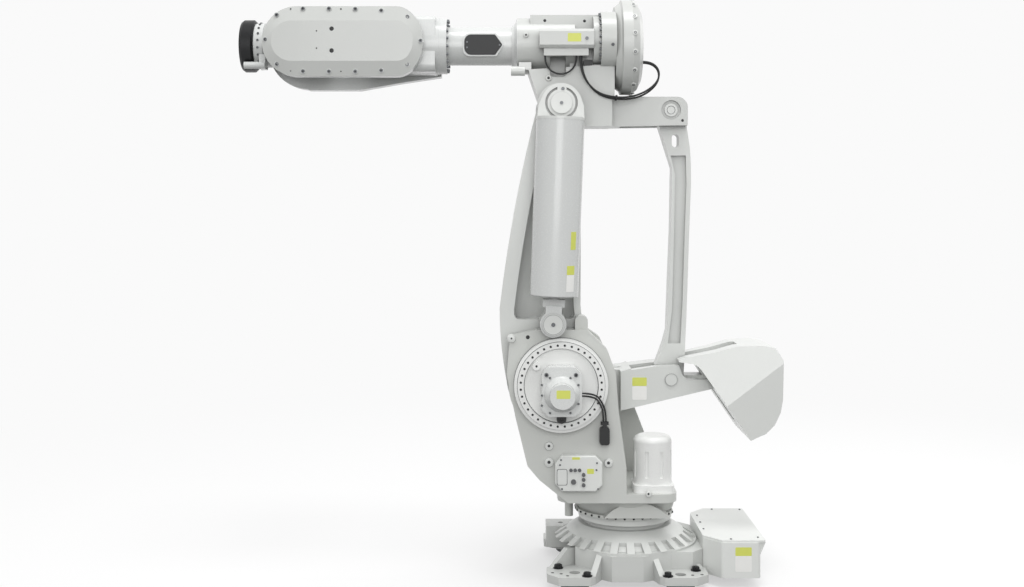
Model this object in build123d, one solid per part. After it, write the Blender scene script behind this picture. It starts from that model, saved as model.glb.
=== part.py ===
"""Heavy-payload industrial robot arm with a parallel linkage, in millimetres.

X points forward to the tool, Y to the side that carries the axis 2 motor, and Z up.
The origin lies on the vertical turning axis, on the floor.
"""
import os
from math import atan2, cos, degrees, hypot, radians, sin, tan

from build123d import *

os.makedirs("parts", exist_ok=True)

# Clearances: running fit, seat, and the gap beside a moving piece
RUN = 0.5
SEAT = 0.05
SIDE = 10.0

# Linkage: shoulder O, elbow A, lower link pin P, upper link pin Q and spring foot S
SHOULDER_X, SHOULDER_Z = 385.0, 1125.0
ARM_LENGTH = 1550.0
LINK_BACK, LINK_DROP = 645.0, 12.0
SPRING_FORWARD, SPRING_UP = 45.0, 340.0
FOREARM_RISE = 363.0
WRIST_REACH = 1480.0

# Base
FOOT_HEIGHT, FOOT_R = 50.0, 77.0
PAD_THICK = 45.0
DECK_Z = 200.0
NECK_R, NECK_FOOT_R, NECK_Z = 270.0, 405.0, 287.0
RIB_COUNT, RIB_WIDTH, POCKET_R = 26, 42.0, 338.0
PAD_HOLE_R, PAD_BOLT_R = 30.0, 13.5
DECK_FRONT, DECK_BACK, DECK_SIDE = 300.0, 415.0, 420.0

# Connector box behind the base
BOX_LENGTH, BOX_SIDE, BOX_Z0, BOX_Z1 = 334.0, 365.0, 55.0, 251.0
LID_THICK = 12.0

# Column
BEARING_GAP = 0.5
BEARING_R, BEARING_HEIGHT = 240.0, 23.0
TURNTABLE_R, TURNTABLE_Z = 268.0, 352.0
SKIRT_RIM = 20.0
SHELF_Z0, SHELF_Z1 = 468.0, 515.0
ARM_HALF = 250.0
CHEEK_IN = ARM_HALF + SIDE
CHEEK_OUT = CHEEK_IN + 100
DRIVE_R, DRIVE_STEP_R, DRIVE_IN_R = 259.0, 240.0, 205.5
DRIVE_OUT = CHEEK_OUT + 60
MOTOR_OUT = 620.0
FOOT_PIN_R, FOOT_EYE_R = 30.0, 72.0
FOOT_BOSS_R = 74.0

# Lower arm
WEB_HALF = 105.0
HUB_R = 250.0
HEAD_R = 128.0
UPPER_HALF = 160.0
FORK_IN = UPPER_HALF + 12
FORK_DEPTH = 320.0
FLANGE_FRONT, FLANGE_REAR = 82.0, 38.0
ELBOW_PIN_R = 55.0

# Spring unit
SPRING_Y = CHEEK_OUT + 40
CYLINDER_R, CYLINDER_BORE_R = 133.0, 104.0
CYLINDER_FROM_FOOT, CYLINDER_FROM_ELBOW = 154.0, 90.0
SPRING_HEAD_Y0, SPRING_HEAD_Y1 = ARM_HALF + 18, SPRING_Y + 48
ROD_R = 30.0
ROD_INSIDE = 480.0

# Parallel linkage, whose middle plane lies a little to the far side
LINK_Y = -40.0
ROD_HALF = 55.0
EAR_GAP = 10.0
EAR_THICK = 60.0
LINK_PIN_R = 32.0

# Upper arm and forearm
GEAR_R = 163.0
SEAM_AHEAD = 237.0
TUBE_R = 111.0
RING_AHEAD, RING_R, RING_LENGTH = 645.0, 161.0, 44.0
DOME_R = 274.0
DOME_FRONT, DOME_BACK = -320.0, -474.0
MOTOR_HALF = 54.0
REAR_HALF = 119.0

# Cables
DRIVE_CABLE_R, DOME_CABLE_R = 5.0, 5.5

# Wrist and tool flange
FORK_HALF = 157.0
FORK_NEAR, FORK_FAR = 238.0, 255.0
NEAR_END_R, FAR_END_R = 197.0, 240.0
THROAT = 365.0
COVER_RIM, COVER_THICK = 4.0, 27.0
PANEL_R = 113.0
TILT_R, TILT_BODY_R = 165.0, 124.0
TILT_LENGTH, TILT_RING = 218.0, 52.0
FLANGE_R, FLANGE_THICK = 151.0, 80.0
SPIGOT_R, BOLT_CIRCLE_R, FLANGE_BOLT_R, FLANGE_BOLTS = 62.5, 100.0, 7.0, 6

# Points of the linkage
OX, OZ = SHOULDER_X, SHOULDER_Z
AX, AZ = OX, OZ + ARM_LENGTH
PX, PZ = OX - LINK_BACK, OZ - LINK_DROP
QX, QZ = AX - LINK_BACK, AZ - LINK_DROP
SX, SZ = OX + SPRING_FORWARD, OZ + SPRING_UP
FZ = AZ + FOREARM_RISE
WX = AX + WRIST_REACH
SPRING_LENGTH = hypot(AX - SX, AZ - SZ)
SPRING_TILT = degrees(atan2(AX - SX, AZ - SZ))
LINK_TOP = LINK_Y + ROD_HALF
LINK_LOW = LINK_Y - ROD_HALF
EAR_NEAR = LINK_TOP + EAR_GAP + EAR_THICK
EAR_FAR = LINK_LOW - EAR_GAP - EAR_THICK


def side_plane(y):
    """A drawing plane at Y whose own axes are X and Z, and which faces the far side."""
    return Plane(origin=(0, y, 0), x_dir=(1, 0, 0), z_dir=(0, -1, 0))


def slab(sketch, near, far):
    """A sketch of X and Z made solid from the near side to the far one."""
    return extrude(side_plane(near) * sketch, near - far)


def disc(x, z, radius, near, far):
    """A round slab about a line along Y."""
    return slab(Pos(x, z) * Circle(radius), near, far)


def outline(points, radius=0.0):
    """A closed outline of X and Z, with its corners rounded where a radius is given."""
    if radius:
        return make_face(FilletPolyline(*points, radius=radius, close=True))
    return make_face(Polyline(*points, close=True))


def upright(sketch, low, high):
    """A sketch of X and Y made solid from one height to another."""
    return extrude(Plane.XY.offset(low) * sketch, high - low)


def rod_x(x0, x1, y, z, radius):
    """A round bar along X."""
    return extrude(Plane(origin=(x0, y, z), x_dir=(0, 1, 0), z_dir=(1, 0, 0)) * Circle(radius), x1 - x0)


def turned_x(profile, y, z):
    """A profile of (X, radius) points turned about a line along X."""
    face = make_face(Polyline(*profile, close=True))
    body = revolve(Plane.XY * face, Axis.X)
    return Pos(0, y, z) * body


def cord(points, radius):
    """A round cable along straight runs, with an arc tangent to both runs at each corner."""
    path = [Vector(*point) for point in points]
    bends = []
    for before, corner, after in zip(path, path[1:], path[2:]):
        arriving, leaving = corner - before, after - corner
        half_turn = radians(arriving.get_angle(leaving)) / 2
        bends.append(0.45 * min(arriving.length, leaving.length) / tan(half_turn))
    line = FilletPolyline(*points, radius=bends)
    print("cable bends", [round(bend) for bend in bends], "length", round(line.length))
    return sweep(Plane(origin=path[0], z_dir=path[1] - path[0]) * Circle(radius), path=line)


def block(x0, x1, y0, y1, z0, z1):
    """A box between two corners."""
    return Pos((x0 + x1) / 2, (y0 + y1) / 2, (z0 + z1) / 2) * Box(x1 - x0, y1 - y0, z1 - z0)


def save(name, shape):
    """Write one piece under its node's name."""
    solids = shape.solids()
    body = solids[0] if len(solids) == 1 else Compound(children=list(solids))
    body.label = name
    export_step(body, f"parts/{name}.step")


# Base: casting, feet and connector box
PAD_Z0 = FOOT_HEIGHT
PAD_Z1 = FOOT_HEIGHT + PAD_THICK
FRONT_PAD = [(200, 300), (200, 462), (228, 490), (400, 490), (462, 420), (462, 290), (300, 190)]
BACK_PAD = [(-150, 300), (-150, 462), (-178, 490), (-352, 490), (-422, 425), (-422, 290), (-300, 190)]
FRONT_HOLE, BACK_HOLE = (309, 390), (-268, 428)
PAD_BOLTS = [(398, 306), (245, 458), (-195, 462), (-362, 352)]


def both_sides(points):
    """The same outline on the near side and mirrored on the far side."""
    return [points, [(x, -y) for x, y in points]]


def pad_leg(corner, side):
    """The sloped gusset that runs from the deck down to a pad's outer corner."""
    x, y = corner
    angle = degrees(atan2(y * side, x))
    length = hypot(x, y)
    profile = [(150, PAD_Z0), (length, PAD_Z0), (length, PAD_Z1), (length - 105, DECK_Z - 12), (150, DECK_Z - 12)]
    leg = extrude(Plane.XZ * make_face(Polyline(*profile, close=True)), 17, both=True)
    return Rot(0, 0, angle) * leg


def make_base():
    """The base casting: deck, pads, sloped gussets and the ribbed neck under the turntable."""
    deck_outline = [(DECK_FRONT, -260), (DECK_FRONT, 260), (107, DECK_SIDE), (-66, DECK_SIDE),
                    (-230, 330), (-350, 330), (-DECK_BACK, 255), (-DECK_BACK, -255),
                    (-350, -330), (-230, -330), (-66, -DECK_SIDE), (107, -DECK_SIDE)]
    body = upright(outline(deck_outline), PAD_Z0, DECK_Z - 10)
    body += upright(Circle(NECK_FOOT_R + 8) & outline(deck_outline), DECK_Z - 10, DECK_Z)
    for pad in both_sides(FRONT_PAD) + both_sides(BACK_PAD):
        body += upright(outline(pad, 14), PAD_Z0, PAD_Z1)
    for side in (1, -1):
        for corner in ((440, 300), (215, 455), (-165, 455), (-400, 300)):
            body += pad_leg(corner, side)
    low = Cone(NECK_FOOT_R - 40, NECK_R - 14, NECK_Z - DECK_Z, align=(Align.CENTER, Align.CENTER, Align.MIN))
    body += Pos(0, 0, DECK_Z) * low
    full = Cone(NECK_FOOT_R, NECK_R, NECK_Z - DECK_Z, align=(Align.CENTER, Align.CENTER, Align.MIN))
    ribs = Sketch()
    for index in range(RIB_COUNT):
        spoke = Pos(NECK_FOOT_R / 2, 0) * Rectangle(NECK_FOOT_R + 20, RIB_WIDTH)
        ribs += Rot(0, 0, (index + 0.5) * 360 / RIB_COUNT) * spoke
    body += (Pos(0, 0, DECK_Z) * full) & upright(ribs + Circle(POCKET_R), DECK_Z, NECK_Z)
    body += upright(Circle(NECK_R), NECK_Z - 22, NECK_Z)
    body += block(DECK_FRONT - 20, 452, -300, -130, PAD_Z1 - 5, 215)
    body -= upright(Pos(NECK_R + 95, -215) * Circle(16), 150, 230)
    for x, y in (FRONT_HOLE, BACK_HOLE):
        for side in (1, -1):
            body -= upright(Pos(x, y * side) * Circle(PAD_HOLE_R), PAD_Z0, DECK_Z)
    for x, y in PAD_BOLTS:
        for side in (1, -1):
            body -= upright(Pos(x, y * side) * Circle(PAD_BOLT_R), PAD_Z0, DECK_Z)
    return body


def make_foot():
    """A round levelling foot with a chamfered rim."""
    foot = Cylinder(FOOT_R, FOOT_HEIGHT - SEAT, align=(Align.CENTER, Align.CENTER, Align.MIN))
    return chamfer(foot.edges().group_by(Axis.Z)[0], 8)


save("base_casting", make_base())
for name, (x, y) in {
    "foot_front_near": FRONT_HOLE, "foot_front_far": (FRONT_HOLE[0], -FRONT_HOLE[1]),
    "foot_back_near": BACK_HOLE, "foot_back_far": (BACK_HOLE[0], -BACK_HOLE[1]),
}.items():
    save(name, Pos(x, y, 0) * make_foot())

BOX_X1 = -DECK_BACK - SEAT
BOX_X0 = BOX_X1 - BOX_LENGTH


def box_sketch(grow=0.0):
    """The connector box seen from above, narrower where it meets the base."""
    points = [(BOX_X1, -255 - grow), (BOX_X1, 255 + grow), (BOX_X1 - 92, BOX_SIDE + grow),
              (BOX_X0 + 28 - grow, BOX_SIDE + grow), (BOX_X0 + 28 - grow, -BOX_SIDE - grow),
              (BOX_X1 - 92, -BOX_SIDE - grow)]
    return outline(points, 24)


def make_box():
    """The connector box, with the lip that leans out at its back."""
    body = upright(box_sketch(), BOX_Z0, BOX_Z1)
    lip = [(BOX_X0 + 80, 186), (BOX_X0 + 28, 186), (BOX_X0, BOX_Z1), (BOX_X0 + 80, BOX_Z1)]
    return body + slab(outline(lip), BOX_SIDE - 12, 12 - BOX_SIDE)


save("connector_box", make_box())
LID_POINTS = [(BOX_X1, -250), (BOX_X1, 250), (BOX_X1 - 92, BOX_SIDE - 4), (BOX_X0, BOX_SIDE - 4),
              (BOX_X0, 4 - BOX_SIDE), (BOX_X1 - 92, 4 - BOX_SIDE)]
save("connector_box_lid", upright(outline(LID_POINTS, 18), BOX_Z1 + SEAT, BOX_Z1 + LID_THICK))

# Column: turntable, casting, motors, drive rings, panel and spring foot pin
TURN_Z0 = NECK_Z + BEARING_GAP


def make_turntable():
    """The turning ring: a bearing race below and a wider bolted rim above it."""
    race = upright(Circle(BEARING_R), TURN_Z0, TURN_Z0 + BEARING_HEIGHT)
    rim = upright(Circle(TURNTABLE_R), TURN_Z0 + BEARING_HEIGHT, TURNTABLE_Z)
    rim = fillet(rim.edges().group_by(Axis.Z)[0], 8)
    return race + rim


save("turntable_ring", make_turntable())

CHEEK_NEAR = [(345, SHELF_Z0), (503, 596), (569, 673), (OX + 249, OZ - 189), (OX + 299, OZ + 52),
              (OX + 282, OZ + 265), (OX + 135, OZ + 302), (OX - 145, OZ + 302), (OX - 254, OZ + 199),
              (OX - 303, OZ + 68), (OX - 320, OZ - 146), (22, 662), (20, SHELF_Z0)]
CHEEK_FAR = [(345, SHELF_Z0), (503, 596), (569, 673), (OX + 249, OZ - 189), (OX + 299, OZ + 52),
             (OX + 230, OZ + 230), (OX + 60, OZ + 302), (OX - 120, OZ + 290), (OX - 254, OZ + 199),
             (OX - 330, OZ + 40), (OX - 467, OZ - 225), (-160, 700), (-190, SHELF_Z0)]


BOOT_X, BOOT_Z, BOOT_TOP = 145.0, 850.0, 925.0


def front_wall(thick):
    """The wall that closes the front of the column between the cheeks, below the arm's sweep."""
    points = [(345, SHELF_Z0), (503, 596), (569, 673), (590, 760), (590 - thick, 760),
              (569 - thick, 690), (503 - thick, 640), (345 - thick, SHELF_Z0 + 60), (300, SHELF_Z0)]
    return slab(outline(points), CHEEK_IN + 5, -CHEEK_IN - 5)


def make_column():
    """The turning column: shelf, skirt, two cheeks, the front wall and the mount of the spring's foot."""
    shelf = outline([(400, -CHEEK_OUT), (400, CHEEK_OUT), (-265, CHEEK_OUT), (-265, -CHEEK_OUT)], 90)
    body = upright(shelf, SHELF_Z0, SHELF_Z1)
    skirt_z = TURNTABLE_Z + SEAT
    skirt = Cone(TURNTABLE_R - 8, TURNTABLE_R + 72, SHELF_Z0 - skirt_z + 5,
                 align=(Align.CENTER, Align.CENTER, Align.MIN))
    pad = Pos(-41, SHELF_Z0 - 248) * Circle(238) & Pos(-41, SHELF_Z0) * Rectangle(500, 2 * (SHELF_Z0 - skirt_z) - 2 * SKIRT_RIM)
    skirt = Pos(0, 0, skirt_z) * skirt + slab(pad, 312, 200)
    skirt += upright(Circle(TURNTABLE_R + SKIRT_RIM), skirt_z, skirt_z + SKIRT_RIM)
    body += skirt & upright(shelf, skirt_z, SHELF_Z0 + 5)
    body += slab(outline(CHEEK_NEAR, 26), CHEEK_OUT, CHEEK_IN)
    body += slab(outline(CHEEK_FAR, 26), -CHEEK_IN, -CHEEK_OUT)
    body += front_wall(70)
    body += disc(SX, SZ, FOOT_BOSS_R, CHEEK_OUT, CHEEK_IN)
    body += disc(OX, OZ, DRIVE_R + 30, CHEEK_OUT, CHEEK_IN)
    lug = outline([(OX - 150, OZ + 250), (OX - 79, OZ + 250), (OX - 79, OZ + 380), (OX - 150, OZ + 380)], 30)
    body += slab(lug, CHEEK_OUT - 12, CHEEK_IN)
    body -= slab(Pos(BOOT_X, BOOT_Z - 10) * SlotOverall(70, 34, rotation=90), CHEEK_OUT, CHEEK_IN)
    body += upright(Pos(324, 0) * Circle(24), 312, SHELF_Z0 + 20)
    return body


save("column_casting", make_column())


def drive_ring(near):
    """A stepped annular ring bolted to the outside of a cheek."""
    ring = disc(OX, OZ, DRIVE_R, CHEEK_OUT + 45, CHEEK_OUT + SEAT)
    ring += disc(OX, OZ, DRIVE_STEP_R, DRIVE_OUT, CHEEK_OUT + SEAT)
    ring -= disc(OX, OZ, DRIVE_IN_R, DRIVE_OUT + 1, CHEEK_OUT - 1)
    return ring if near else mirror(ring, Plane.XZ)


def gear_disc(near):
    """The inner disc of a drive, a little behind the ring's face."""
    plate = disc(OX, OZ, DRIVE_IN_R - SEAT, DRIVE_OUT - 18, CHEEK_OUT + SEAT)
    plate += disc(OX + 136, OZ + 110, 22, DRIVE_OUT + 14, DRIVE_OUT - 18)
    return plate if near else mirror(plate, Plane.XZ)


def side_motor(near):
    """A drive motor that stands out sideways: a box with cut corners, a cone and a round cap."""
    half_x, half_z, cut = 108, 134, 38
    low = OZ - 18
    box = [(OX - half_x, low - half_z + cut), (OX - half_x + cut, low - half_z), (OX + half_x - cut, low - half_z),
           (OX + half_x, low - half_z + cut), (OX + half_x, low + half_z - cut), (OX + half_x - cut, low + half_z),
           (OX - half_x + cut, low + half_z), (OX - half_x, low + half_z - cut)]
    body = slab(outline(box, 10), DRIVE_OUT + 100, DRIVE_OUT - 18 + SEAT)
    cone = Cone(98, 70, 40, align=(Align.CENTER, Align.CENTER, Align.MIN))
    body += Pos(OX, DRIVE_OUT + 100, low - 12) * (Rot(-90, 0, 0) * cone)
    body += disc(OX, low - 12, 67, MOTOR_OUT, DRIVE_OUT + 139)
    body += disc(OX, low - half_z - 20, 24, DRIVE_OUT + 30, DRIVE_OUT - 18 + SEAT)
    return body if near else mirror(body, Plane.XZ)


for number, near in ((2, True), (3, False)):
    save(f"axis_{number}_drive_ring", drive_ring(near))
    save(f"axis_{number}_gear_disc", gear_disc(near))
    save(f"axis_{number}_motor", side_motor(near))


def make_axis_1_motor():
    """The upright motor on the shelf: flange, ribbed body and domed cap."""
    x, y, radius, top = -137, 215, 108, 822
    z0 = SHELF_Z1 + SEAT
    body = upright(Pos(x, y) * RectangleRounded(228, 228, 40), z0, z0 + 40)
    barrel = upright(Pos(x, y) * Circle(radius), z0 + 40, top)
    body += fillet(barrel.edges().group_by(Axis.Z)[-1], 34)
    for index in range(8):
        groove = Pos(x, y) * (Rot(0, 0, index * 45 + 22.5) * (Pos(radius, 0) * RectangleRounded(16, 20, 6)))
        body -= upright(groove, z0 + 80, top - 80)
    return body


save("axis_1_motor", make_axis_1_motor())

PANEL = [(158, 575), (158, 700), (195, 738), (380, 738), (418, 690), (418, 585), (380, 541), (195, 541)]
PANEL_OUT = CHEEK_OUT + 42


def make_panel():
    """The service panel on the near cheek, a thick plate with cut corners."""
    body = slab(outline(PANEL, 6), PANEL_OUT, CHEEK_OUT + SEAT)
    return chamfer(body.faces().sort_by(Axis.Y)[-1].edges(), 6)


save("service_panel", make_panel())


def make_connectors():
    """The round connectors, each standing on the panel by itself."""
    spots = [(331, 661, 9), (308, 661, 9), (284, 661, 9), (262, 636, 10), (262, 609, 10), (262, 579, 10),
             (317, 597, 14)]
    return Compound([disc(x, z, radius, PANEL_OUT + 12, PANEL_OUT + SEAT) for x, z, radius in spots])


save("panel_connectors", make_connectors())



def make_boot():
    """The moulded boot that leads the motor's two cables through the cheek."""
    body = slab(Pos(BOOT_X, BOOT_Z - 5) * RectangleRounded(54, 96, 14), CHEEK_OUT + 42, CHEEK_OUT + SEAT)
    body += block(BOOT_X - 12, BOOT_X + 12, CHEEK_OUT + 18, CHEEK_OUT + 40, BOOT_Z + 30, BOOT_Z + 62)
    collar = Pos(BOOT_X, CHEEK_OUT + 30) * RectangleRounded(44, 24, 10)
    return body + upright(collar, BOOT_Z + 58, BOOT_TOP)


save("cable_boot", make_boot())
CABLE_X0, BOOT_IN_Y = OX - 108 - SEAT, CHEEK_OUT + 30
OUTER_RUN = [(CABLE_X0, 478, 1094), (200, 478, 1094), (158, 430, 1030), (138, BOOT_IN_Y, 975),
             (138, BOOT_IN_Y, BOOT_TOP + SEAT)]
INNER_RUN = [(CABLE_X0, 476, 1079), (205, 476, 1079), (166, 434, 1019), (152, BOOT_IN_Y, 970),
             (152, BOOT_IN_Y, BOOT_TOP + SEAT)]
save("drive_cable_outer", cord(OUTER_RUN, DRIVE_CABLE_R))
save("drive_cable_inner", cord(INNER_RUN, DRIVE_CABLE_R))

PIN_OUT = SPRING_Y + 52
save("spring_foot_pin", disc(SX, SZ, FOOT_PIN_R, PIN_OUT + 1, CHEEK_OUT + SEAT)
     + disc(SX, SZ, 59, PIN_OUT + 10, PIN_OUT))

# Lower arm: a casting of channel section with a forked head

def arm_sketch(inset_front=0.0, inset_rear=0.0):
    """The side outline of the lower arm between its hub and its head."""
    front_top = (AX + HEAD_R - 2 - inset_front, AZ)
    front_mid = (AX + 235 - inset_front, AZ - 480)
    belly = (OX + 340 - inset_front, OZ + 409)
    front_low = (OX + 330 - inset_front, OZ + 210)
    hub_front = (OX + 300 - inset_front, OZ + 3)
    hub_low = (OX + 60, OZ - HUB_R + 8)
    rear_low = (OX - HUB_R + 6 + inset_rear, OZ)
    rear_mid = (OX - 115 + inset_rear, OZ + 430)
    rear_top = (OX - 118 + inset_rear, AZ - 60)
    edges = [ThreePointArc(front_top, front_mid, belly), ThreePointArc(belly, front_low, hub_front),
             ThreePointArc(hub_front, (OX + 215, OZ - 170), hub_low), Line(hub_low, rear_low),
             ThreePointArc(rear_low, (OX - 150 + inset_rear, OZ + 230), rear_mid), Line(rear_mid, rear_top),
             Line(rear_top, front_top)]
    return make_face(edges)


def arm_pocket(near):
    """The recess between the flanges, on one side of the web."""
    window = Pos(OX, (OZ + AZ) / 2) * Rectangle(900, ARM_LENGTH - 2 * FORK_DEPTH - 60)
    shape = arm_sketch(FLANGE_FRONT, FLANGE_REAR) & window
    shape = fillet(shape.vertices(), 28)
    if near:
        return slab(shape, ARM_HALF, WEB_HALF)
    return slab(shape, -WEB_HALF, -ARM_HALF)


def make_lower_arm():
    """The lower arm: hub on the near side, channel section above it, and a fork round the elbow."""
    body = slab(arm_sketch() + Pos(OX, OZ) * Circle(HUB_R) + Pos(AX, AZ) * Circle(HEAD_R), ARM_HALF, -ARM_HALF)
    for near in (True, False):
        body -= arm_pocket(near)
    body -= disc(AX, AZ, FORK_DEPTH, FORK_IN, -FORK_IN)
    body -= disc(OX, OZ, HUB_R + 95, 0, -ARM_HALF)
    body += disc(OX, OZ, 150, CHEEK_IN - RUN, ARM_HALF - 1)
    body += disc(OX, OZ, 120, 1, -SIDE + RUN)
    body -= disc(AX, AZ, ELBOW_PIN_R + SEAT, ARM_HALF + 1, -ARM_HALF - 1)
    return body


save("lower_arm_casting", make_lower_arm())
ELBOW_OUT = SPRING_HEAD_Y1 + 4
save("elbow_pin", disc(AX, AZ, ELBOW_PIN_R, ELBOW_OUT, -ARM_HALF - 10) + disc(AX, AZ, 58, ELBOW_OUT + 9, ELBOW_OUT - 1)
     + disc(AX, AZ, 80, -ARM_HALF - SEAT, -ARM_HALF - 16))

# Spring unit: drawn upright under the elbow, then leaned about it


def lean(shape):
    """Turn a spring piece, drawn upright below the elbow, onto the line from foot to elbow."""
    return Pos(AX, 0, AZ) * (Rot(0, SPRING_TILT, 0) * shape)


CYLINDER_TOP = -CYLINDER_FROM_ELBOW
CYLINDER_LOW = CYLINDER_FROM_FOOT - SPRING_LENGTH


def make_cylinder():
    """The spring's round housing, open below where the rod comes out."""
    body = Pos(0, SPRING_Y) * Circle(CYLINDER_R)
    body = upright(body, CYLINDER_LOW, CYLINDER_TOP)
    body = chamfer(body.edges().group_by(Axis.Z)[0], 5)
    return body - upright(Pos(0, SPRING_Y) * Circle(CYLINDER_BORE_R), CYLINDER_LOW - 1, CYLINDER_TOP - 60)


def make_spring_head():
    """The horseshoe that hangs the spring from the elbow pin, on a round collar."""
    foot, shoulder = CYLINDER_R - 4, CYLINDER_R - 24
    shape = Circle(shoulder) + outline([(-foot, CYLINDER_TOP + 12), (foot, CYLINDER_TOP + 12), (foot - 6, -10),
                                        (shoulder - 8, 45), (8 - shoulder, 45), (6 - foot, -10)])
    body = slab(shape, SPRING_HEAD_Y1, SPRING_HEAD_Y0)
    body &= upright(Pos(0, SPRING_Y) * Circle(CYLINDER_R + 30), CYLINDER_TOP, 200)
    body += upright(Pos(0, SPRING_Y) * Circle(CYLINDER_R + 1), CYLINDER_TOP + SEAT, CYLINDER_TOP + 14)
    groove = Circle(89) - Circle(76) - Rectangle(50, 400)
    body -= slab(groove, SPRING_HEAD_Y1, SPRING_HEAD_Y1 - 26)
    return body - disc(0, 0, ELBOW_PIN_R + RUN, SPRING_HEAD_Y1 + 1, SPRING_HEAD_Y0 - 1)


def make_spring_rod():
    """The spring's rod with its yoke plate and the eye that turns on the foot pin."""
    foot = -SPRING_LENGTH
    near, far = SPRING_Y + 46, CHEEK_OUT + 6
    body = disc(0, foot, FOOT_EYE_R, near, far)
    body += block(-44, 44, far, near, foot, foot + 100)
    body += block(-60, 60, far, SPRING_Y + 34, foot + 93, foot + 135)
    body += upright(Pos(0, SPRING_Y) * Circle(ROD_R), foot + 130, foot + CYLINDER_FROM_FOOT + ROD_INSIDE)
    return body - disc(0, foot, FOOT_PIN_R + RUN, near + 1, far - 1)


save("spring_cylinder", lean(make_cylinder()))
save("spring_head", lean(make_spring_head()))
save("spring_rod", lean(make_spring_rod()))

# Parallel arm, counterweight hood and parallel rod
FORK_FLOOR = PX + 230
HOOD_FACE_TOP, HOOD_FACE_LOW = (PX - 170, PZ + 55), (PX - 435, PZ - 329)
EAR_TAIL_TOP, EAR_TAIL_LOW = PZ - 1, PZ - 52


def hood_face_x(z):
    """Where the hood's sloping front face stands at a height."""
    (x0, z0), (x1, z1) = HOOD_FACE_TOP, HOOD_FACE_LOW
    return x0 + (x1 - x0) * (z - z0) / (z1 - z0)


def parallel_sketch(front):
    """The side outline of the parallel arm from a given front edge back to the hood."""
    points = [(front, PZ + 45), (PX + 100, PZ + 74), (PX - 45, PZ + 83), (PX - 67, PZ + 21), (PX - 96, PZ - 1),
              (hood_face_x(EAR_TAIL_TOP) + SEAT, EAR_TAIL_TOP), (hood_face_x(EAR_TAIL_LOW) + SEAT, EAR_TAIL_LOW),
              (front, PZ - 179)]
    return outline(points)


def make_parallel_arm():
    """The parallel arm: hub beside the lower arm, then a fork for the parallel rod."""
    near_face, far_face = -SIDE, -ARM_HALF + 5
    web_front = OX - HUB_R - 105
    body = disc(OX, OZ, 190, near_face, far_face)
    neck = outline([(OX, OZ + 190), (OX - 318, PZ + 45), (OX - 318, PZ - 179), (OX, OZ - 190)])
    body += slab(neck, near_face, far_face)
    body += slab(parallel_sketch(OX - 310), EAR_FAR + EAR_THICK, far_face)
    body += slab(parallel_sketch(web_front), EAR_NEAR, EAR_NEAR - EAR_THICK)
    body += slab(outline([(web_front, PZ + 45), (FORK_FLOOR, PZ + 64), (FORK_FLOOR, PZ - 160),
                          (web_front, PZ - 179)]), EAR_NEAR, far_face)
    body += slab(outline([(OX - 300, PZ + 45), (web_front, PZ + 45), (web_front, PZ - 179),
                          (OX - 300, PZ - 179)]), near_face, far_face)
    body += disc(OX, OZ, 150, -ARM_HALF + 6, -CHEEK_IN + RUN)
    return body - disc(PX, PZ, LINK_PIN_R + SEAT, EAR_NEAR + 1, far_face - 1)


save("parallel_arm", make_parallel_arm())
save("lower_link_pin", disc(PX, PZ, LINK_PIN_R, EAR_NEAR + 3, -ARM_HALF + 5)
     + disc(PX, PZ, LINK_PIN_R + 5, EAR_NEAR + 6, EAR_NEAR + SEAT))

HOOD_HALF = 250.0
HOOD_SIDE = [(PX - 40, PZ + 104), (PX - 40, PZ + 116), (PX - 83, PZ + 130), (PX - 250, PZ + 164),
             (PX - 364, PZ + 196), (PX - 508, PZ + 204), (PX - 582, PZ + 190), (PX - 621, PZ + 124),
             (PX - 616, PZ - 98), (PX - 603, PZ - 170), (PX - 570, PZ - 240), (PX - 520, PZ - 290),
             (PX - 469, PZ - 312), HOOD_FACE_LOW, HOOD_FACE_TOP, (PX - 150, PZ + 80), (PX - 120, PZ + 94)]
CREASE = [(PX - 300, PZ - 136), (PX - 617, PZ + 106)]


def make_hood():
    """The counterweight hood: a wide block slanted above its crease, slotted for the parallel rod."""
    body = slab(outline(HOOD_SIDE), LINK_Y + HOOD_HALF, LINK_Y - HOOD_HALF)
    (x0, z0), (x1, z1) = CREASE
    run, rise = x1 - x0, z1 - z0
    span = hypot(run, rise)
    along = (run / span, 0, rise / span)
    for side in (1, -1):
        corner = Plane(origin=(x0 - 300 * along[0], LINK_Y + side * HOOD_HALF, z0 - 300 * along[2]),
                       x_dir=(0, side, 0), z_dir=along)
        wedge = make_face(Polyline((0, 0), (60, 0), (60, -420), (-112, -420), close=True))
        flip = make_face(Polyline((0, 0), (60, 0), (60, 420), (-112, 420), close=True))
        up = corner.y_dir.Z > 0
        body -= extrude(corner * (flip if up else wedge), span + 600)
    return body - block(PX - 390, 0, LINK_LOW - SIDE - 2, LINK_TOP + SIDE + 2, 0, 3000)


save("counterweight_hood", make_hood())


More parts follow.
